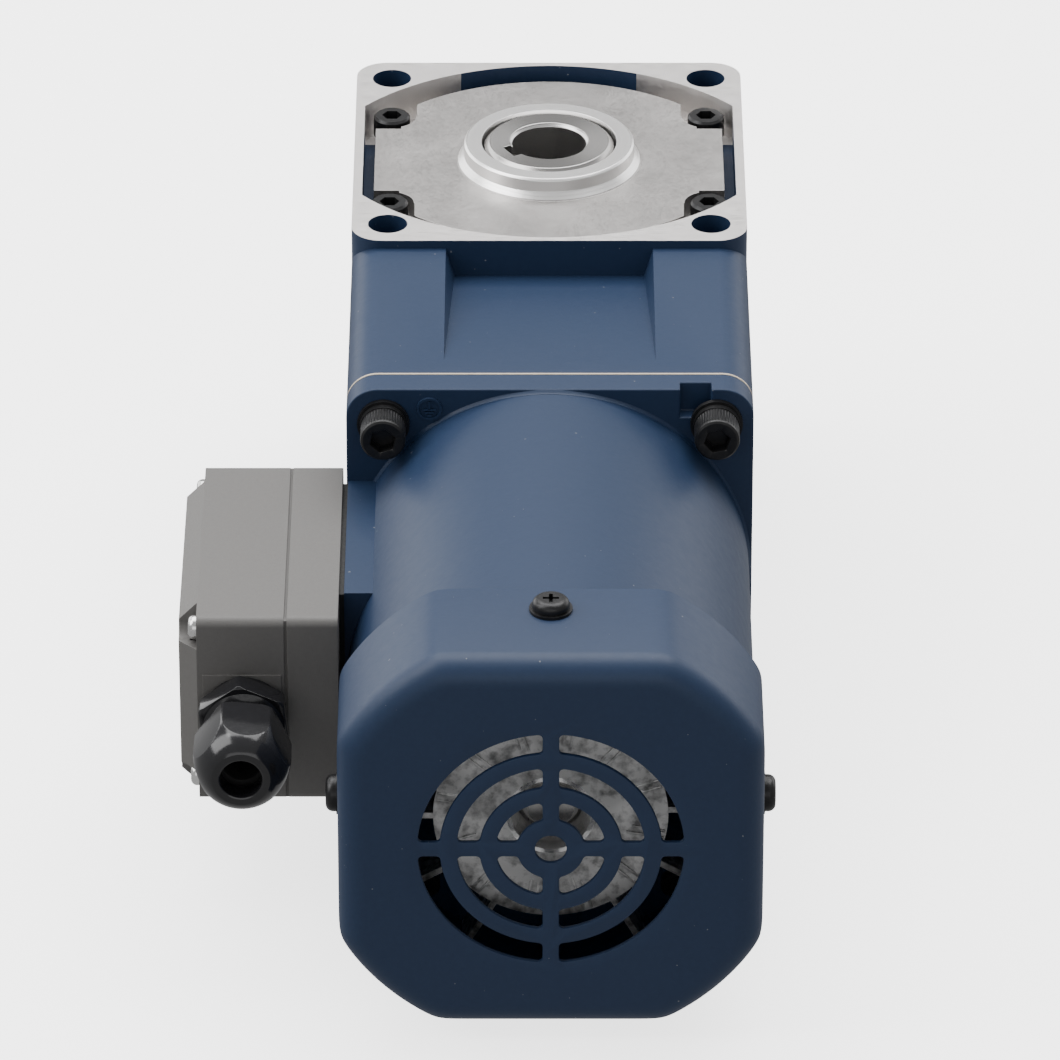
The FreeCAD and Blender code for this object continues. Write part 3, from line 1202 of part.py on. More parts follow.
def write_nodes(nodes):
    os.makedirs("parts", exist_ok=True)
    for node in nodes:
        shape = node.Shape
        if shape.isNull() or not shape.isValid() or not shape.Solids:
            raise RuntimeError("%s has no sound shape" % node.Label)
    for node in nodes:
        node.Shape.exportStep("parts/%s.step" % node.Label)


NODES = make_nodes()
doc.recompute()
check_document()
write_nodes(NODES)
print(len(NODES), "sub-parts")
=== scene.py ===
import json
import math

import bmesh
import bpy
from mathutils import Matrix, Vector


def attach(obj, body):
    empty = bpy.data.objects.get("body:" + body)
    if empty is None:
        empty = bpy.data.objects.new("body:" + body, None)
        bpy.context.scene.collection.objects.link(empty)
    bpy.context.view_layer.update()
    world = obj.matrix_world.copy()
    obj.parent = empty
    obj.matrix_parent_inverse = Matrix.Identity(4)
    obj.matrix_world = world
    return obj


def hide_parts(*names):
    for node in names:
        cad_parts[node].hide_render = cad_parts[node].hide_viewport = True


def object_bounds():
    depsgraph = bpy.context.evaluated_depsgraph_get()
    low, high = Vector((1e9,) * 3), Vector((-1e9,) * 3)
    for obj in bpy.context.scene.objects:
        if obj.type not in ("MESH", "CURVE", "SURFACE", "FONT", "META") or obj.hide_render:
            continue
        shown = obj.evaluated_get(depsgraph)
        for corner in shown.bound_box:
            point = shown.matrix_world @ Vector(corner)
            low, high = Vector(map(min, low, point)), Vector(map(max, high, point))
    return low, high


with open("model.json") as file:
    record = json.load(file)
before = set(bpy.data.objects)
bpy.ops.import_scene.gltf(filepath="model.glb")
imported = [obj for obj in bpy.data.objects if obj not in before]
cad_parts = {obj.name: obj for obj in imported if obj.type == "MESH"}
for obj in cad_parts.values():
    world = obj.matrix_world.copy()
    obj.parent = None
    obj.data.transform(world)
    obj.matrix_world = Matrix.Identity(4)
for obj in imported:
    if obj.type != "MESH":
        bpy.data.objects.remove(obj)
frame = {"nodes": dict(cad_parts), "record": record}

CAD_BOX = [list(corner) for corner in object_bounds()]

# ---------------------------------------------------------------- places, in metres

MM = 0.001
AXIS_Z = -47 * MM          # height of the motor axis
SEAM_Y = -104 * MM         # where the motor flange meets the gearbox
FLOOR_GAP = 0.2 * MM
FLOOR_Z = CAD_BOX[0][2] - FLOOR_GAP

# ---------------------------------------------------------------- camera, floor and light

CAMERA_AIM = Vector((-4.4, -144.0, -19.2)) * MM
CAMERA_DISTANCE = 1.9427
CAMERA_ELEVATION = math.radians(29.59)
CAMERA_LENS = 302.6
CAMERA_SENSOR = 36
CAMERA_FAR = 50

FLOOR_REACH = 6.0
FLOOR_TONE, FLOOR_GLOW = 0.9, 2.4
WORLD_STRENGTH = 0.5

# Area lights: name, place, aim, width, height, power.
LIGHTS = (
    ("overhead", (0.1, 0.6, 1.7), (0, -0.1, 0), 2.4, 1.6, 66),
    ("left_key", (-1.3, -0.2, 1.2), (0, -0.15, -0.05), 1.0, 1.4, 24),
    ("left_rim", (-1.5, 1.2, 0.5), (0, -0.1, -0.03), 1.6, 1.15, 16),
    ("right_rim", (1.5, 1.2, 0.5), (0, -0.1, -0.03), 1.6, 1.15, 11),
    ("front_fill", (0.0, -2.2, 0.75), (0, -0.15, -0.05), 2.4, 0.9, 8),
)


def make_camera():
    """A long lens, looking along +Y and down at the object from just under 30 degrees."""
    data = bpy.data.cameras.new("camera")
    data.lens = CAMERA_LENS
    data.sensor_width = CAMERA_SENSOR
    data.clip_end = CAMERA_FAR
    camera = bpy.data.objects.new("camera", data)
    bpy.context.collection.objects.link(camera)
    back = Vector((0, -math.cos(CAMERA_ELEVATION), math.sin(CAMERA_ELEVATION)))
    camera.location = CAMERA_AIM + back * CAMERA_DISTANCE
    camera.rotation_euler = (math.pi / 2 - CAMERA_ELEVATION, 0, 0)
    bpy.context.scene.camera = camera


def area_light(name, place, aim, width, height, power):
    data = bpy.data.lights.new(name, "AREA")
    data.shape = "RECTANGLE"
    data.size = width
    data.size_y = height
    data.energy = power
    lamp = bpy.data.objects.new(name, data)
    bpy.context.collection.objects.link(lamp)
    lamp.location = place
    lamp.rotation_euler = (Vector(aim) - Vector(place)).to_track_quat("-Z", "Y").to_euler()


def make_studio():
    """A pale floor that only the camera sees, soft area lights and a white world."""
    floor_mesh = bpy.data.meshes.new("floor")
    corners = [(across * FLOOR_REACH, along * FLOOR_REACH, FLOOR_Z)
               for across, along in ((-1, -1), (1, -1), (1, 1), (-1, 1))]
    floor_mesh.from_pydata(corners, [], [(0, 1, 2, 3)])
    floor = bpy.data.objects.new("floor", floor_mesh)
    bpy.context.collection.objects.link(floor)
    paper = Shader("paper")
    paper.surface(base=(FLOOR_TONE, FLOOR_TONE, FLOOR_TONE), roughness=0.9, Emission_Color=(1, 1, 1, 1),
                  Emission_Strength=FLOOR_GLOW)
    floor_mesh.materials.append(paper.material)
    floor.visible_diffuse = False
    floor.visible_glossy = False
    for light in LIGHTS:
        area_light(*light)
    world = bpy.data.worlds.new("studio")
    world.use_nodes = True
    background = world.node_tree.nodes["Background"]
    background.inputs["Color"].default_value = (1, 1, 1, 1)
    background.inputs["Strength"].default_value = WORLD_STRENGTH
    bpy.context.scene.world = world


# ---------------------------------------------------------------- shader building

class Shader:
    """A procedural material: a few helpers over its node tree."""

    def __init__(self, name):
        self.material = bpy.data.materials.new(name)
        self.material.use_nodes = True
        self.tree = self.material.node_tree
        self.bsdf = self.tree.nodes["Principled BSDF"]
        self.place = self.tree.nodes.new("ShaderNodeTexCoord").outputs["Object"]

    def node(self, kind, inputs=(), **settings):
        made = self.tree.nodes.new("ShaderNode" + kind)
        for key, setting in settings.items():
            setattr(made, key, setting)
        for key, source in dict(inputs).items():
            self.put(made.inputs[key], source)
        return made

    def put(self, socket, source):
        if isinstance(source, bpy.types.NodeSocket):
            self.tree.links.new(source, socket)
        else:
            socket.default_value = source

    def math(self, operation, first, second=0.0):
        made = self.tree.nodes.new("ShaderNodeMath")
        made.operation = operation
        for index, source in enumerate((first, second)):
            self.put(made.inputs[index], source)
        return made.outputs[0]

    def coordinates(self):
        return self.node("SeparateXYZ", {"Vector": self.place}).outputs

    def radius(self, first, second):
        """The length of a pair of coordinates."""
        square = self.math("ADD", self.math("POWER", first, 2.0), self.math("POWER", second, 2.0))
        return self.math("SQRT", square)

    def noise(self, scale, detail=4.0, roughness=0.55, stretch=(1, 1, 1)):
        place = self.place
        if stretch != (1, 1, 1):
            place = self.node("Mapping", {"Vector": self.place, "Scale": stretch}).outputs[0]
        return self.node("TexNoise", {"Vector": place, "Scale": scale, "Detail": detail,
                                      "Roughness": roughness}).outputs["Fac"]

    def ramp(self, source, low, high, low_to=0.0, high_to=1.0):
        return self.node("MapRange", {"Value": source, "From Min": low, "From Max": high, "To Min": low_to,
                                      "To Max": high_to}).outputs["Result"]

    def mix(self, share, first, second):
        made = self.node("Mix", data_type="RGBA")
        self.put(made.inputs[0], share)
        for index, source in ((6, first), (7, second)):
            if isinstance(source, tuple):
                source = (*source, 1)
            self.put(made.inputs[index], source)
        return made.outputs[2]

    def blend(self, share, first, second):
        made = self.node("Mix", data_type="FLOAT")
        for index, source in ((0, share), (2, first), (3, second)):
            self.put(made.inputs[index], source)
        return made.outputs[0]

    def bump(self, height, distance, strength):
        return self.node("Bump", {"Height": height, "Distance": distance, "Strength": strength}).outputs[0]

    def surface(self, base, roughness, metallic=0.0, normal=None, **fixed):
        if isinstance(base, tuple):
            base = (*base, 1)
        self.put(self.bsdf.inputs["Base Color"], base)
        self.put(self.bsdf.inputs["Roughness"], roughness)
        self.put(self.bsdf.inputs["Metallic"], metallic)
        if normal is not None:
            self.put(self.bsdf.inputs["Normal"], normal)
        for name, value in fixed.items():
            self.bsdf.inputs[name.replace("_", " ")].default_value = value
        return self.material


# ---------------------------------------------------------------- materials

NAVY_DARK = (0.011, 0.025, 0.060)
NAVY_LIGHT = (0.014, 0.030, 0.070)
DUST = (0.45, 0.45, 0.45)

# Where bare metal shows on the gearbox: the milled face, and the machined arcs of its opening.
FACE_LEVEL = -0.05 * MM
OPENING_RADIUS, OPENING_SHIFT, OPENING_HALF, OPENING_FLOOR = 54.8 * MM, 11 * MM, 43.1 * MM, -9.5 * MM
CAST_ENDS_HALF, CAST_SIDES_HALF = 20.6 * MM, 20 * MM

# Radii inside which a part is turned bright, or bored.
BOSS_LIMIT, BORE_LIMIT, HUB_LIMIT = 21.0 * MM, 8.9 * MM, 9.4 * MM


def paint_layers(shader):
    """Colour, roughness and relief of the semi-gloss navy paint."""
    cloud = shader.noise(900, 3)
    grain = shader.noise(2600, 2)
    peel = shader.noise(1100, 2)
    dust = shader.ramp(shader.noise(1100, 0), 0.87, 0.90, 0.0, 0.3)
    colour = shader.mix(dust, shader.mix(cloud, NAVY_DARK, NAVY_LIGHT), DUST)
    roughness = shader.ramp(shader.noise(400, 2), 0.3, 0.7, 0.44, 0.48)
    relief = shader.math("ADD", shader.math("MULTIPLY", peel, 0.6), shader.math("MULTIPLY", grain, 0.4))
    return colour, roughness, relief


def navy_paint():
    shader = Shader("navy_paint")
    colour, roughness, relief = paint_layers(shader)
    return shader.surface(colour, roughness, normal=shader.bump(relief, 0.00004, 0.6),
                          Specular_IOR_Level=0.3)


def casting_paint():
    """Navy paint, with bare machined metal on the milled face and the machined parts of its opening."""
    shader = Shader("casting_paint")
    colour, roughness, relief = paint_layers(shader)
    x_axis, y_axis, z_axis = shader.coordinates()
    across = shader.math("ABSOLUTE", x_axis)
    along = shader.math("ABSOLUTE", y_axis)
    on_face = shader.math("GREATER_THAN", z_axis, FACE_LEVEL)
    reach = shader.radius(across, shader.math("ADD", along, OPENING_SHIFT))
    inside = shader.math("MULTIPLY", shader.math("LESS_THAN", reach, OPENING_RADIUS),
                         shader.math("LESS_THAN", across, OPENING_HALF))
    inside = shader.math("MULTIPLY", inside, shader.math("GREATER_THAN", z_axis, OPENING_FLOOR))
    cast_ends = shader.math("LESS_THAN", across, CAST_ENDS_HALF)
    cast_sides = shader.math("LESS_THAN", along, CAST_SIDES_HALF)
    machined = shader.math("SUBTRACT", inside, shader.math("MAXIMUM", cast_ends, cast_sides))
    bare = shader.math("MAXIMUM", on_face, shader.math("MAXIMUM", machined, 0.0))
    mottle = shader.noise(220, 5)
    streak = shader.noise(900, 3, stretch=(0.25, 3, 1))
    metal = shader.mix(mottle, (0.74, 0.715, 0.70), (0.84, 0.815, 0.80))
    metal_rough = shader.ramp(streak, 0.3, 0.7, 0.34, 0.5)
    colour = shader.mix(bare, colour, metal)
    roughness = shader.blend(bare, roughness, metal_rough)
    height = shader.blend(bare, relief, streak)
    return shader.surface(colour, roughness, metallic=bare, normal=shader.bump(height, 0.00004, 0.6),
                          Specular_IOR_Level=0.3)


def from_output_axis(shader):
    """Distance from the output axis."""
    x_axis, y_axis, _ = shader.coordinates()
    return shader.radius(x_axis, y_axis)


def turned_rings(shader, radius, pitch):
    """Tool marks that circle the output axis."""
    line = shader.node("CombineXYZ", {"X": shader.math("DIVIDE", radius, pitch)})
    return shader.node("TexNoise", {"Vector": line.outputs[0], "Scale": 1.0, "Detail": 3.0}).outputs["Fac"]


def bare_aluminium():
    """Satin die-cast cover, blotchy, with a boss that is turned bright."""
    shader = Shader("bare_aluminium")
    radius = from_output_axis(shader)
    boss = shader.math("LESS_THAN", radius, BOSS_LIMIT)
    rings = turned_rings(shader, radius, 0.35 * MM)
    blotch = shader.noise(70, 5, 0.6)
    speck = shader.noise(1500, 3)
    satin = shader.mix(shader.ramp(blotch, 0.3, 0.7), (0.33, 0.318, 0.31), (0.47, 0.455, 0.445))
    colour = shader.mix(boss, satin, (0.97, 0.96, 0.95))
    satin_rough = shader.ramp(speck, 0.3, 0.7, 0.36, 0.50)
    roughness = shader.blend(boss, satin_rough, shader.ramp(rings, 0.3, 0.7, 0.26, 0.36))
    relief = shader.blend(boss, speck, rings)
    return shader.surface(colour, roughness, metallic=1.0, normal=shader.bump(relief, 0.00003, 0.6))


def turned_steel():
    """Turned steel, with fine tool rings round the output axis and a duller bore, painted lighter to stand
    in for light inside it.
    """
    shader = Shader("turned_steel")
    radius = from_output_axis(shader)
    rings = turned_rings(shader, radius, 0.25 * MM)
    bore = shader.math("LESS_THAN", radius, BORE_LIMIT)
    # Painted light: the bore's lighter colour stands in for light inside it; its higher roughness is its
    # real duller finish.
    colour = shader.mix(bore, shader.mix(rings, (0.40, 0.39, 0.38), (0.56, 0.55, 0.54)), (0.72, 0.71, 0.70))
    tangent = shader.node("Tangent", direction_type="RADIAL", axis="Z").outputs[0]
    shader.put(shader.bsdf.inputs["Tangent"], tangent)
    roughness = shader.blend(bore, shader.ramp(rings, 0.3, 0.7, 0.18, 0.26), 0.27)
    return shader.surface(colour, roughness, metallic=1.0, normal=shader.bump(rings, 0.00001, 0.4),
                          Anisotropic=0.8)


def fan_casting():
    """Rough grey casting with dark stains, and a hub that is turned bright round the motor axis."""
    shader = Shader("fan_casting")
    x_axis, _, z_axis = shader.coordinates()
    from_axis = shader.radius(x_axis, shader.math("SUBTRACT", z_axis, AXIS_Z))
    hub = shader.math("LESS_THAN", from_axis, HUB_LIMIT)
    patch = shader.noise(170, 3, 0.5)
    stain = shader.noise(520, 3)
    share = shader.ramp(shader.math("MULTIPLY", patch, stain), 0.12, 0.30)
    colour = shader.mix(share, (0.24, 0.24, 0.245), (0.74, 0.74, 0.74))
    colour = shader.mix(hub, colour, (0.9, 0.9, 0.9))
    roughness = shader.blend(hub, shader.ramp(stain, 0.3, 0.7, 0.30, 0.46), 0.2)
    return shader.surface(colour, roughness, metallic=0.9, normal=shader.bump(patch, 0.0003, 0.6))


def dull_steel(name, dark, light, rough):
    shader = Shader(name)
    colour = shader.mix(shader.noise(250, 4), dark, light)
    return shader.surface(colour, shader.ramp(shader.noise(900, 3), 0.3, 0.7, rough - 0.06, rough + 0.06),
                          metallic=1.0, normal=shader.bump(shader.noise(2400, 2), 0.00002, 0.4))


def black_steel():
    shader = Shader("black_steel")
    colour = shader.mix(shader.noise(500, 4), (0.012, 0.012, 0.013), (0.03, 0.03, 0.031))
    return shader.surface(colour, shader.ramp(shader.noise(1200, 3), 0.3, 0.7, 0.28, 0.42), metallic=0.6,
                          normal=shader.bump(shader.noise(3000, 2), 0.00002, 0.5))


def box_plastic():
    shader = Shader("box_plastic")
    grain = shader.noise(3200, 3)
    colour = shader.mix(shader.noise(900, 3), (0.108, 0.104, 0.100), (0.124, 0.120, 0.115))
    return shader.surface(colour, shader.ramp(grain, 0.3, 0.7, 0.5, 0.62),
                          normal=shader.bump(grain, 0.00005, 0.6))


def gland_nylon():
    shader = Shader("gland_nylon")
    colour = shader.mix(shader.noise(900, 3), (0.008, 0.008, 0.009), (0.014, 0.014, 0.016))
    return shader.surface(colour, shader.ramp(shader.noise(700, 3), 0.3, 0.7, 0.11, 0.19),
                          normal=shader.bump(shader.noise(1400, 2), 0.00001, 0.3))


def plain(name, dark, light, rough, metallic=0.0):
    shader = Shader(name)
    colour = shader.mix(shader.noise(600, 4), dark, light)
    return shader.surface(colour, shader.ramp(shader.noise(1500, 3), 0.3, 0.7, rough - 0.08, rough + 0.08),
                          metallic=metallic, normal=shader.bump(shader.noise(2500, 2), 0.00003, 0.4))


def make_materials():
    return {
        "navy_paint": navy_paint(),
        "casting_paint": casting_paint(),
        "fan_casting": fan_casting(),
        "bare_aluminium": bare_aluminium(),
        "turned_steel": turned_steel(),
        "gear_steel": dull_steel("gear_steel", (0.30, 0.30, 0.30), (0.42, 0.42, 0.41), 0.32),
        "lamination_steel": dull_steel("lamination_steel", (0.16, 0.16, 0.165), (0.24, 0.24, 0.24), 0.5),
        "copper_winding": plain("copper_winding", (0.30, 0.10, 0.03), (0.42, 0.17, 0.06), 0.4, 0.6),
        "black_steel": black_steel(),
        "zinc_steel": dull_steel("zinc_steel", (0.6, 0.6, 0.59), (0.75, 0.75, 0.74), 0.24),
        "box_plastic": box_plastic(),
        "terminal_plastic": plain("terminal_plastic", (0.02, 0.02, 0.02), (0.035, 0.035, 0.035), 0.5),
        "gland_nylon": gland_nylon(),
        "black_rubber": plain("black_rubber", (0.008, 0.008, 0.008), (0.016, 0.016, 0.016), 0.7),
        "seam_gasket": plain("seam_gasket", (0.42, 0.36, 0.28), (0.55, 0.48, 0.39), 0.8),
    }


SPECIAL = {"gearbox_housing": "casting_paint", "cooling_fan": "fan_casting", "lid_seal": "box_plastic"}


def dress_nodes(materials):
    """Gives every CAD node the material of its slot."""
    slots = {part["node"]: part["material_slot"] for part in frame["record"]["subparts"]}
    for name, node in frame["nodes"].items():
        chosen = materials[slots[name]]
        if name in SPECIAL:
            chosen = materials[SPECIAL[name]]
        node.data.materials.clear()
        node.data.materials.append(chosen)


# ---------------------------------------------------------------- mesh building

MOTOR, GLAND = "motor", "gland"
GLAND_X = -66.2
BOX_FRONT = 70.3


def spot(frame_name, across, up, out):
    """A point in metres, from millimetres in one of the two local frames.

    motor: out is the distance behind the seam, and up is the height over the motor axis.
    gland: the same directions, from where the gland's axis leaves the terminal box."""
    if frame_name == GLAND:
        across += GLAND_X
        out += BOX_FRONT
    return Vector((across * MM, SEAM_Y - out * MM, AXIS_Z + up * MM))


def finish_mesh(mesh_builder, name, smooth_angle=35):
    """Turns a bmesh into an object with smooth shading across all but its sharp edges."""
    bmesh.ops.remove_doubles(mesh_builder, verts=mesh_builder.verts, dist=1e-7)
    bmesh.ops.recalc_face_normals(mesh_builder, faces=mesh_builder.faces)
    mesh = bpy.data.meshes.new(name)
    mesh_builder.to_mesh(mesh)
    mesh_builder.free()
    made = bpy.data.objects.new(name, mesh)
    bpy.context.collection.objects.link(made)
    smooth(made, smooth_angle)
    return made


def smooth(thing, angle):
    thing.data.shade_smooth()
    thing.data.set_sharp_from_angle(angle=math.radians(angle))


def bridge(built, first, second):
    """A band of faces between two rings of equal length."""
    count = len(first)
    for index in range(count):
        following = (index + 1) % count
        built.faces.new((first[index], first[following], second[following], second[index]))


def add_ring(built, points):
    return [built.verts.new(point) for point in points]


def loft(rings, caps=True):
    """A skin over rings of equal length, with flat ends."""
    built = bmesh.new()
    rows = [add_ring(built, ring) for ring in rings]
    for first, second in zip(rows, rows[1:]):
        bridge(built, first, second)
    if caps:
        built.faces.new(rows[0][::-1])
        built.faces.new(rows[-1])
    return built


def merge(target, source):
    """Adds one bmesh to another."""
    mesh = bpy.data.meshes.new("part")
    source.to_mesh(mesh)
    source.free()
    target.from_mesh(mesh)
    bpy.data.meshes.remove(mesh)


def ring_of(frame_name, radius, out, count=96, centre=(0, 0)):
    angles = [2 * math.pi * index / count for index in range(count)]
    return [spot(frame_name, centre[0] + radius * math.cos(angle),
                 centre[1] + radius * math.sin(angle), out) for angle in angles]


def turned(frame_name, profile, count=96, centre=(0, 0)):
    """A solid turned from (radius, out) points."""
    return loft([ring_of(frame_name, radius, out, count, centre) for radius, out in profile])


def turned_ring(frame_name, profile, count=96, centre=(0, 0)):
    """A ring turned from a closed loop of (radius, out) points."""
    rings = [ring_of(frame_name, radius, out, count, centre) for radius, out in profile]
    return loft(rings + rings[:1], caps=False)


def boolean(base, cutter, operation="DIFFERENCE"):
    """Cuts or crosses one object with another, and deletes the second."""
    step = base.modifiers.new("boolean", "BOOLEAN")
    step.operation = operation
    step.solver = "EXACT"
    step.object = cutter
    apply_modifiers(base)
    bpy.data.objects.remove(cutter)


def apply_modifiers(thing):
    evaluated = thing.evaluated_get(bpy.context.evaluated_depsgraph_get())
    made = bpy.data.meshes.new_from_object(evaluated)
    thing.modifiers.clear()
    old = thing.data
    thing.data = made
    bpy.data.meshes.remove(old)


def soften(thing, width, segments=2, angle=30, smooth_angle=35):
    """A small rounding on every sharp edge of a new piece."""
    step = thing.modifiers.new("edge", "BEVEL")
    step.width = width * MM
    step.segments = segments
    step.limit_method = "ANGLE"
    step.angle_limit = math.radians(angle)
    step.harden_normals = False
    apply_modifiers(thing)
    smooth(thing, smooth_angle)


def settle(thing, material, body, slot, *nodes):
    """Gives a piece its material and its body, and hides the CAD nodes it stands for; its slot argument is
    not used.
    """
    thing.data.materials.clear()
    thing.data.materials.append(material)
    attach(thing, body)
    if nodes:
        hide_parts(*nodes)
    return thing


# ---------------------------------------------------------------- fan cowl

COWL_HALF, COWL_CORNER, COWL_LIP, COWL_BACK = 45.1, 51.2, 95.3, 127.7
COWL_ROUND, COWL_WALL = 6.0, 1.2
VENTS = ((28.2, 23.5), (19.9, 15.1), (11.6, 7.2))
RIB_HALF, VENT_CORNER, CENTRE_HOLE = 1.75, 1.0, 3.35
LIP_EASE, COWL_POINTS = 0.35, 288
CORNER_BLEND = 0.55                     # how softly the outline's square and circle meet
FLAT_RADIUS = 33                        # the flat middle of the back, which holds the vents
CUT_LOW, CUT_HIGH = COWL_BACK - 4, COWL_BACK + 2


def cowl_radius(angle, inset):
    """The cowl's outline: a square and a circle, blended where they cross."""
    flat = (COWL_HALF - inset) / max(abs(math.cos(angle)), abs(math.sin(angle)))
    corner = COWL_CORNER - inset
    lower, gap = min(flat, corner), abs(flat - corner)
    return lower - CORNER_BLEND * math.log(1 + math.exp(-gap / CORNER_BLEND))


def cowl_ring(inset, out):
    ring = []
    for index in range(COWL_POINTS):
        angle = 2 * math.pi * (index + 0.5) / COWL_POINTS
        radius = cowl_radius(angle, inset)
        ring.append(spot(MOTOR, radius * math.cos(angle), radius * math.sin(angle), out))
    return ring


def vent_outline(outer, inner):
    """A quarter-ring slot with rounded corners, in the first quadrant: (across, up) points.

    One half is worked out from the rib beside the up axis, and the other is its mirror image."""
    corner, half = VENT_CORNER, RIB_HALF + VENT_CORNER
    inner_turn = math.asin(half / (inner + corner))
    outer_turn = math.asin(half / (outer - corner))
    points = []
    for centre_radius, turn, start, end in (
            (inner + corner, inner_turn, 1.5 * math.pi - inner_turn, math.pi),
            (outer - corner, outer_turn, math.pi, math.pi / 2 - outer_turn)):
        middle = (centre_radius * math.sin(turn), centre_radius * math.cos(turn))
        for step in range(7):
            angle = start + (end - start) * step / 6
            points.append((middle[0] + corner * math.cos(angle),
                           middle[1] + corner * math.sin(angle)))
    mirrored = [(up, across) for across, up in points[::-1]]
    arcs = []
    for radius, turn in ((outer, outer_turn), (inner, inner_turn)):
        sweep = math.pi / 2 - 2 * turn
        angles = [turn + sweep * step / 20 for step in range(1, 20)]
        arcs.append([(radius * math.sin(angle), radius * math.cos(angle)) for angle in angles])
    return points + arcs[0] + mirrored + arcs[1][::-1]


def vent_cutters():
    built = bmesh.new()
    for outer, inner in VENTS:
        outline = vent_outline(outer, inner)
        for across_sign, up_sign in ((1, 1), (1, -1), (-1, 1), (-1, -1)):
            merge(built, loft([[spot(MOTOR, across * across_sign, up * up_sign, out)
                                for across, up in outline] for out in (CUT_LOW, CUT_HIGH)]))
    return finish_mesh(built, "vent_cutters")


def make_cowl(material):
    """The pressed cowl: soft-cornered square drum, rolled back edge, three rings of vents."""
    roll_start = COWL_BACK - COWL_ROUND
    roll = [math.pi / 2 * step / 8 for step in range(1, 9)]
    outer = [(LIP_EASE, COWL_LIP), (0.0, COWL_LIP + LIP_EASE), (0.0, roll_start)]
    outer += [(COWL_ROUND * (1 - math.cos(turn)), roll_start + COWL_ROUND * math.sin(turn))
              for turn in roll]
    inner = [(COWL_WALL + 0.8 * inset, out - COWL_WALL) for inset, out in outer[:2:-1]]
    inner += [(COWL_WALL, roll_start - COWL_WALL), (COWL_WALL, COWL_LIP + LIP_EASE),
              (COWL_WALL - LIP_EASE, COWL_LIP)]
    built = bmesh.new()
    outer_rows = [add_ring(built, cowl_ring(inset, out)) for inset, out in outer]
    inner_rows = [add_ring(built, cowl_ring(inset, out)) for inset, out in inner]
    back = add_ring(built, ring_of(MOTOR, FLAT_RADIUS, COWL_BACK, COWL_POINTS))
    front = add_ring(built, ring_of(MOTOR, FLAT_RADIUS, COWL_BACK - COWL_WALL, COWL_POINTS))
    loop = outer_rows + [back]
    for first, second in zip(loop, loop[1:]):
        bridge(built, first, second)
    loop = [front] + inner_rows + outer_rows[:1]
    for first, second in zip(loop, loop[1:]):
        bridge(built, first, second)
    built.faces.new(back)
    built.faces.new(front[::-1])
    cowl = finish_mesh(built, "cowl")
    boolean(cowl, vent_cutters())
    hole = turned(MOTOR, ((CENTRE_HOLE, CUT_LOW), (CENTRE_HOLE, CUT_HIGH)), 48)
    boolean(cowl, finish_mesh(hole, "hole"))
    soften(cowl, 0.25, 2, 50, 40)
    return settle(cowl, material, "casing", "navy_paint", "fan_cowl")


# ---------------------------------------------------------------- cable gland

def hexagon(frame_name, radius, turn, low, high):
    """A hexagonal bar, by its corner radius and the turn of its first corner."""
    angles = [math.radians(turn + 60 * index) for index in range(6)]
    return loft([[spot(frame_name, radius * math.cos(angle), radius * math.sin(angle), out)
                  for angle in angles] for out in (low, high)])


HEX_LOW, HEX_HIGH, NUT_LOW, NUT_HIGH = 2.6, 7.8, 12.2, 29.0
HEX_RADIUS, HEX_TURN, NUT_TURN = 10.7, 36, 54
COLLAR_LOW, COLLAR_RADIUS, COLLAR_BORE = 0.8, 8.8, 7.9
THREAD_BORE, THREAD_ROOT, THREAD_TIP, THREAD_PITCH, THREAD_TURNS = 7.6, 8.5, 8.9, 0.5, 10
DOME_START, DOME_RADIUS, DOME_DROP, DOME_STEPS = 19.5, 10.6, 4.3, 14
PIP_SPOT, PIP_RADIUS = (-2.9, 9.0, 15.6), 0.55


def dome_profile():
    """The outside of the nut over its flats, its mouth and its bore, as (radius, out) points."""
    profile = [(9.7, NUT_LOW - 0.1), (10.5, NUT_LOW + 0.7), (DOME_RADIUS, DOME_START)]
    for index in range(1, DOME_STEPS + 1):
        step = index / DOME_STEPS
        profile.append((DOME_RADIUS - DOME_DROP * step ** 2.1,
                        DOME_START + (NUT_HIGH - DOME_START) * (1 - (1 - step) ** 1.25)))
    mouth = [(4.9, NUT_HIGH), (4.6, 28.85), (4.5, 28.5), (4.5, 24.0)]
    return profile + mouth + [(7.6, 23.0), (7.6, NUT_LOW - 0.1)]


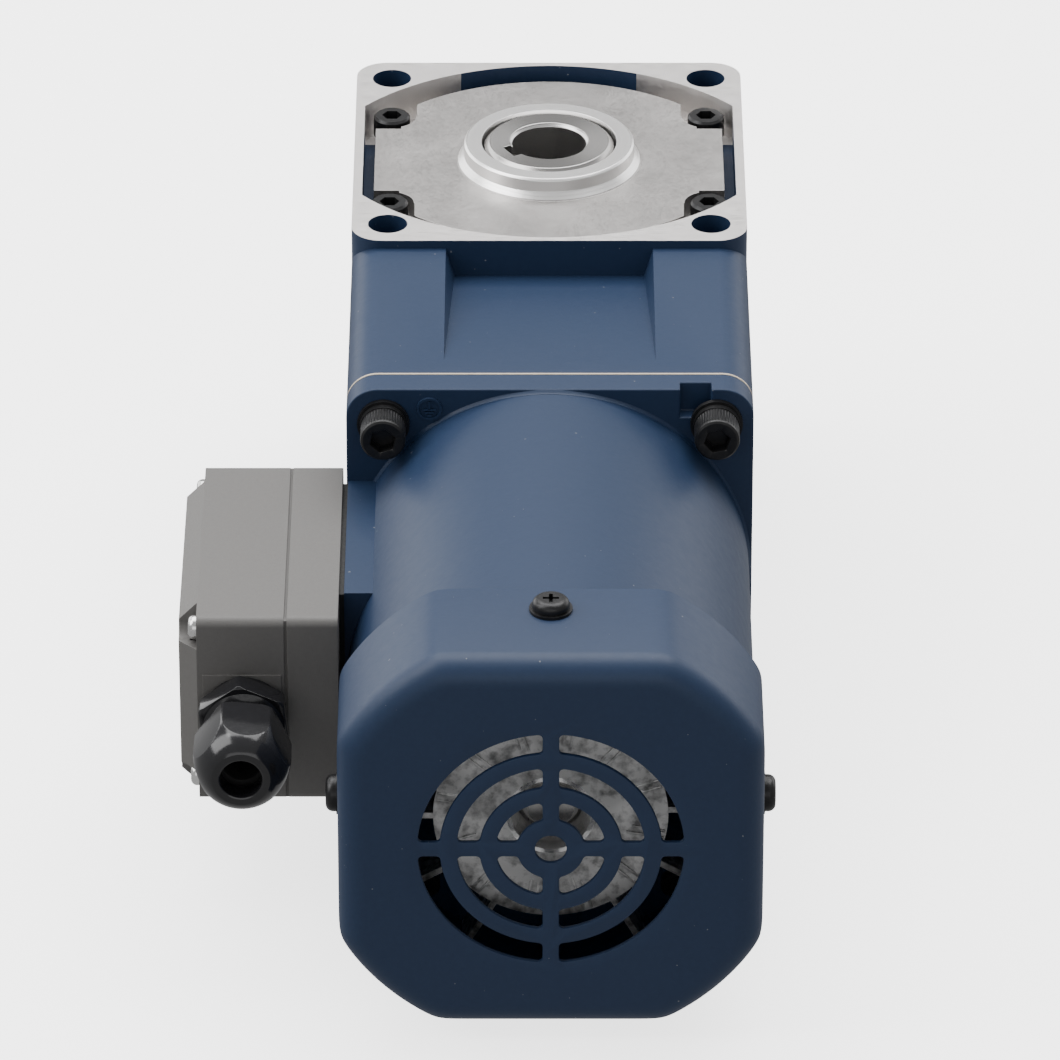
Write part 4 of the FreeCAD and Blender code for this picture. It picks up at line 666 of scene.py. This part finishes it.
def make_gland(nylon):
    """The hexagon on its washer face, the threaded neck, and the dome nut with flats and a round mouth."""
    base = finish_mesh(hexagon(GLAND, HEX_RADIUS, HEX_TURN, HEX_LOW, HEX_HIGH), "gland_hexagon")
    limit = turned(GLAND, ((9.9, HEX_LOW - 0.1), (10.5, HEX_LOW + 0.4), (10.5, HEX_HIGH - 0.4),
                           (9.9, HEX_HIGH + 0.1)))
    boolean(base, finish_mesh(limit, "limit"), "INTERSECT")
    soften(base, 0.22, 2, 20)
    settle(base, nylon, "casing", "gland_nylon", "gland_body")
    collar = [(COLLAR_BORE, COLLAR_LOW), (COLLAR_RADIUS, COLLAR_LOW), (COLLAR_RADIUS, HEX_LOW + 0.2),
              (COLLAR_BORE, HEX_LOW + 0.2)]
    settle(finish_mesh(turned_ring(GLAND, collar, 64), "gland_collar"), nylon, "casing", "gland_nylon")
    thread = [(THREAD_BORE, HEX_HIGH - 0.3)]
    for turn in range(THREAD_TURNS):
        low = HEX_HIGH + 0.1 + THREAD_PITCH * turn
        thread += [(THREAD_ROOT, low), (THREAD_TIP, low + 0.18), (THREAD_ROOT, low + 0.36)]
    thread += [(THREAD_BORE, HEX_HIGH + 5.2)]
    neck = finish_mesh(turned_ring(GLAND, thread, 96), "gland_thread", 25)
    settle(neck, nylon, "casing", "gland_nylon")
    nut = finish_mesh(hexagon(GLAND, HEX_RADIUS, NUT_TURN, NUT_LOW, NUT_HIGH), "gland_dome_nut")
    boolean(nut, finish_mesh(turned_ring(GLAND, dome_profile(), 96), "limit"), "INTERSECT")
    soften(nut, 0.2, 2, 22)
    settle(nut, nylon, "casing", "gland_nylon", "gland_nut")
    pip = bmesh.new()
    bmesh.ops.create_uvsphere(pip, u_segments=20, v_segments=12, radius=PIP_RADIUS * MM)
    bmesh.ops.translate(pip, vec=spot(GLAND, *PIP_SPOT), verts=pip.verts)
    settle(finish_mesh(pip, "gland_pip"), nylon, "casing", "gland_nylon")


# ---------------------------------------------------------------- flange screws

SCREW_SPOTS = [(across * 36.77, up * 36.77) for across in (-1, 1) for up in (-1, 1)]
HEAD_LOW, HEAD_HIGH, HEAD_RADIUS = 10.4, 16.4, 5.0
SOCKET_HALF, SOCKET_DEPTH = 2.5, 3.2    # half the width over the socket's flats, and its depth
SHANK_RADIUS, SHANK_END = 3.0, -14
KNURLS, KNURL_DEPTH = 44, 0.16


def socket_head(centre, low, high, radius, socket, depth, turn):
    """A socket cap head that faces the cowl, with a knurled side, a bevelled rim and a hexagon socket."""
    angles = [2 * math.pi * index / (4 * KNURLS) for index in range(4 * KNURLS)]

    def ring(reaches, out):
        return [spot(MOTOR, centre[0] + reach * math.cos(angle),
                     centre[1] + reach * math.sin(angle), out) for angle, reach in zip(angles, reaches)]

    def round_ring(reach, out):
        return ring([reach] * len(angles), out)

    def knurled_ring(out):
        depths = [KNURL_DEPTH if index % 4 == 2 else 0 for index in range(len(angles))]
        return ring([radius - groove for groove in depths], out)

    def hexagon_ring(reach, out):
        return ring([reach / math.cos((angle - turn) % (math.pi / 3) - math.pi / 6)
                     for angle in angles], out)

    return loft([round_ring(radius * 0.6, low), round_ring(radius, low), knurled_ring(low + 0.2),
                 knurled_ring(high - 1.1), round_ring(radius, high - 0.8),
                 round_ring(radius - 0.12, high - 0.35),
                 round_ring(radius - 0.55, high), round_ring(socket + 0.55, high),
                 hexagon_ring(socket + 0.15, high - 0.05), hexagon_ring(socket, high - 0.3),
                 hexagon_ring(socket, high - depth)])


def make_flange_screws(material):
    built = bmesh.new()
    for index, centre in enumerate(SCREW_SPOTS):
        turn = 0.35 + index
        head = socket_head(centre, HEAD_LOW, HEAD_HIGH, HEAD_RADIUS, SOCKET_HALF, SOCKET_DEPTH, turn)
        merge(built, head)
        shank = ((SHANK_RADIUS, SHANK_END), (SHANK_RADIUS, HEAD_LOW + 0.4))
        merge(built, turned(MOTOR, shank, 32, centre))
    screws = finish_mesh(built, "flange_screw_set", 32)
    settle(screws, material, "casing", "black_steel", "flange_screws")


# ---------------------------------------------------------------- earth mark, bead and fan ridges

FLANGE_BACK = 7.7
SUNK = 0.1                              # how far a raised piece reaches into what it stands on
EARTH_SPOT, EARTH_RELIEF, EARTH_LINE = (-26.6, 40.3), 0.5, 0.21
EARTH_BARS = ((1.5, -0.2), (1.0, -0.9), (0.5, -1.6))
RIDGE_PAIRS, RIDGE_STEP, RIDGE_START, RIDGE_HALF = 12, 30, 11, 0.3
RIDGE_LOW, RIDGE_HIGH, RIDGE_END = 113.5, 114.1, 24.6


def block(frame_name, across, up, out):
    """A box between pairs of limits."""
    built = bmesh.new()
    bmesh.ops.create_cube(built, size=1.0)
    for vertex in built.verts:
        ends = [limits[coordinate > 0] for limits, coordinate in zip((across, up, out), vertex.co)]
        vertex.co = spot(frame_name, *ends)
    return built


def make_earth_mark(material):
    """The cast protective-earth symbol: a ring, a stem and three bars."""
    across, up = EARTH_SPOT
    low, high = FLANGE_BACK - SUNK, FLANGE_BACK + EARTH_RELIEF
    built = turned_ring(MOTOR, ((2.15, low), (2.85, low), (2.74, high), (2.26, high)), 64, EARTH_SPOT)
    for half, level in EARTH_BARS:
        merge(built, block(MOTOR, (across - half, across + half),
                           (up + level - EARTH_LINE, up + level + EARTH_LINE), (low, high)))
    merge(built, block(MOTOR, (across - EARTH_LINE, across + EARTH_LINE), (up - 0.1, up + 1.8), (low, high)))
    mark = finish_mesh(built, "earth_mark")
    settle(mark, material, "casing", "navy_paint")


def make_barrel_bead(material):
    """The small paint-filled fillet where the barrel meets the flange."""
    root = FLANGE_BACK - SUNK
    profile = [(44.0, root), (44.95, root), (44.8, root + 0.25), (44.45, root + 0.6),
               (44.35, root + 1.0), (44.0, root + 1.0)]
    bead = finish_mesh(turned_ring(MOTOR, profile, 192), "barrel_bead")
    settle(bead, material, "casing", "navy_paint")


def make_fan_ridges(material):
    """Pairs of low cast ribs on the back of the fan's disc."""
    built = bmesh.new()
    for index in range(RIDGE_PAIRS):
        turn = Matrix.Rotation(math.radians(RIDGE_STEP * index + RIDGE_START), 3, "Y")
        for side, inner in ((-0.85, 16.5), (0.85, 17.5)):
            ridge = block(MOTOR, (inner, RIDGE_END), (side - RIDGE_HALF, side + RIDGE_HALF),
                          (RIDGE_LOW, RIDGE_HIGH))
            bmesh.ops.rotate(ridge, cent=spot(MOTOR, 0, 0, 0), matrix=turn, verts=ridge.verts)
            merge(built, ridge)
    ridges = finish_mesh(built, "fan_ridges")
    soften(ridges, 0.18, 2, 30)
    settle(ridges, material, "rotor", "bare_aluminium")


# ---------------------------------------------------------------- CAD nodes with softened edges

EDGES = {"gearbox_housing": 0.35, "motor_flange": 0.5, "output_cover": 0.25, "terminal_box_base": 0.4,
         "terminal_box_lid": 0.5, "hollow_output_shaft": 0.12, "cooling_fan": 0.25, "stator_housing": 0.4}


def soften_nodes():
    """A fine rounded edge on the castings and mouldings, as modifiers over the CAD mesh."""
    for name, width in EDGES.items():
        node = frame["nodes"][name]
        weld = node.modifiers.new("weld", "WELD")
        weld.merge_threshold = 1e-6
        flat = node.modifiers.new("flat", "DECIMATE")
        flat.decimate_type = "DISSOLVE"
        flat.angle_limit = math.radians(0.4)
        edge = node.modifiers.new("edge", "BEVEL")
        edge.width = width * MM
        edge.segments = 2
        edge.limit_method = "ANGLE"
        edge.angle_limit = math.radians(28)
        edge.use_clamp_overlap = True
        normals = node.modifiers.new("normals", "WEIGHTED_NORMAL")
        normals.keep_sharp = False


make_camera()
make_studio()
MATERIALS = make_materials()
dress_nodes(MATERIALS)
make_cowl(MATERIALS["navy_paint"])
make_gland(MATERIALS["gland_nylon"])
make_flange_screws(MATERIALS["black_steel"])
make_earth_mark(MATERIALS["navy_paint"])
make_barrel_bead(MATERIALS["navy_paint"])
make_fan_ridges(MATERIALS["fan_casting"])
soften_nodes()
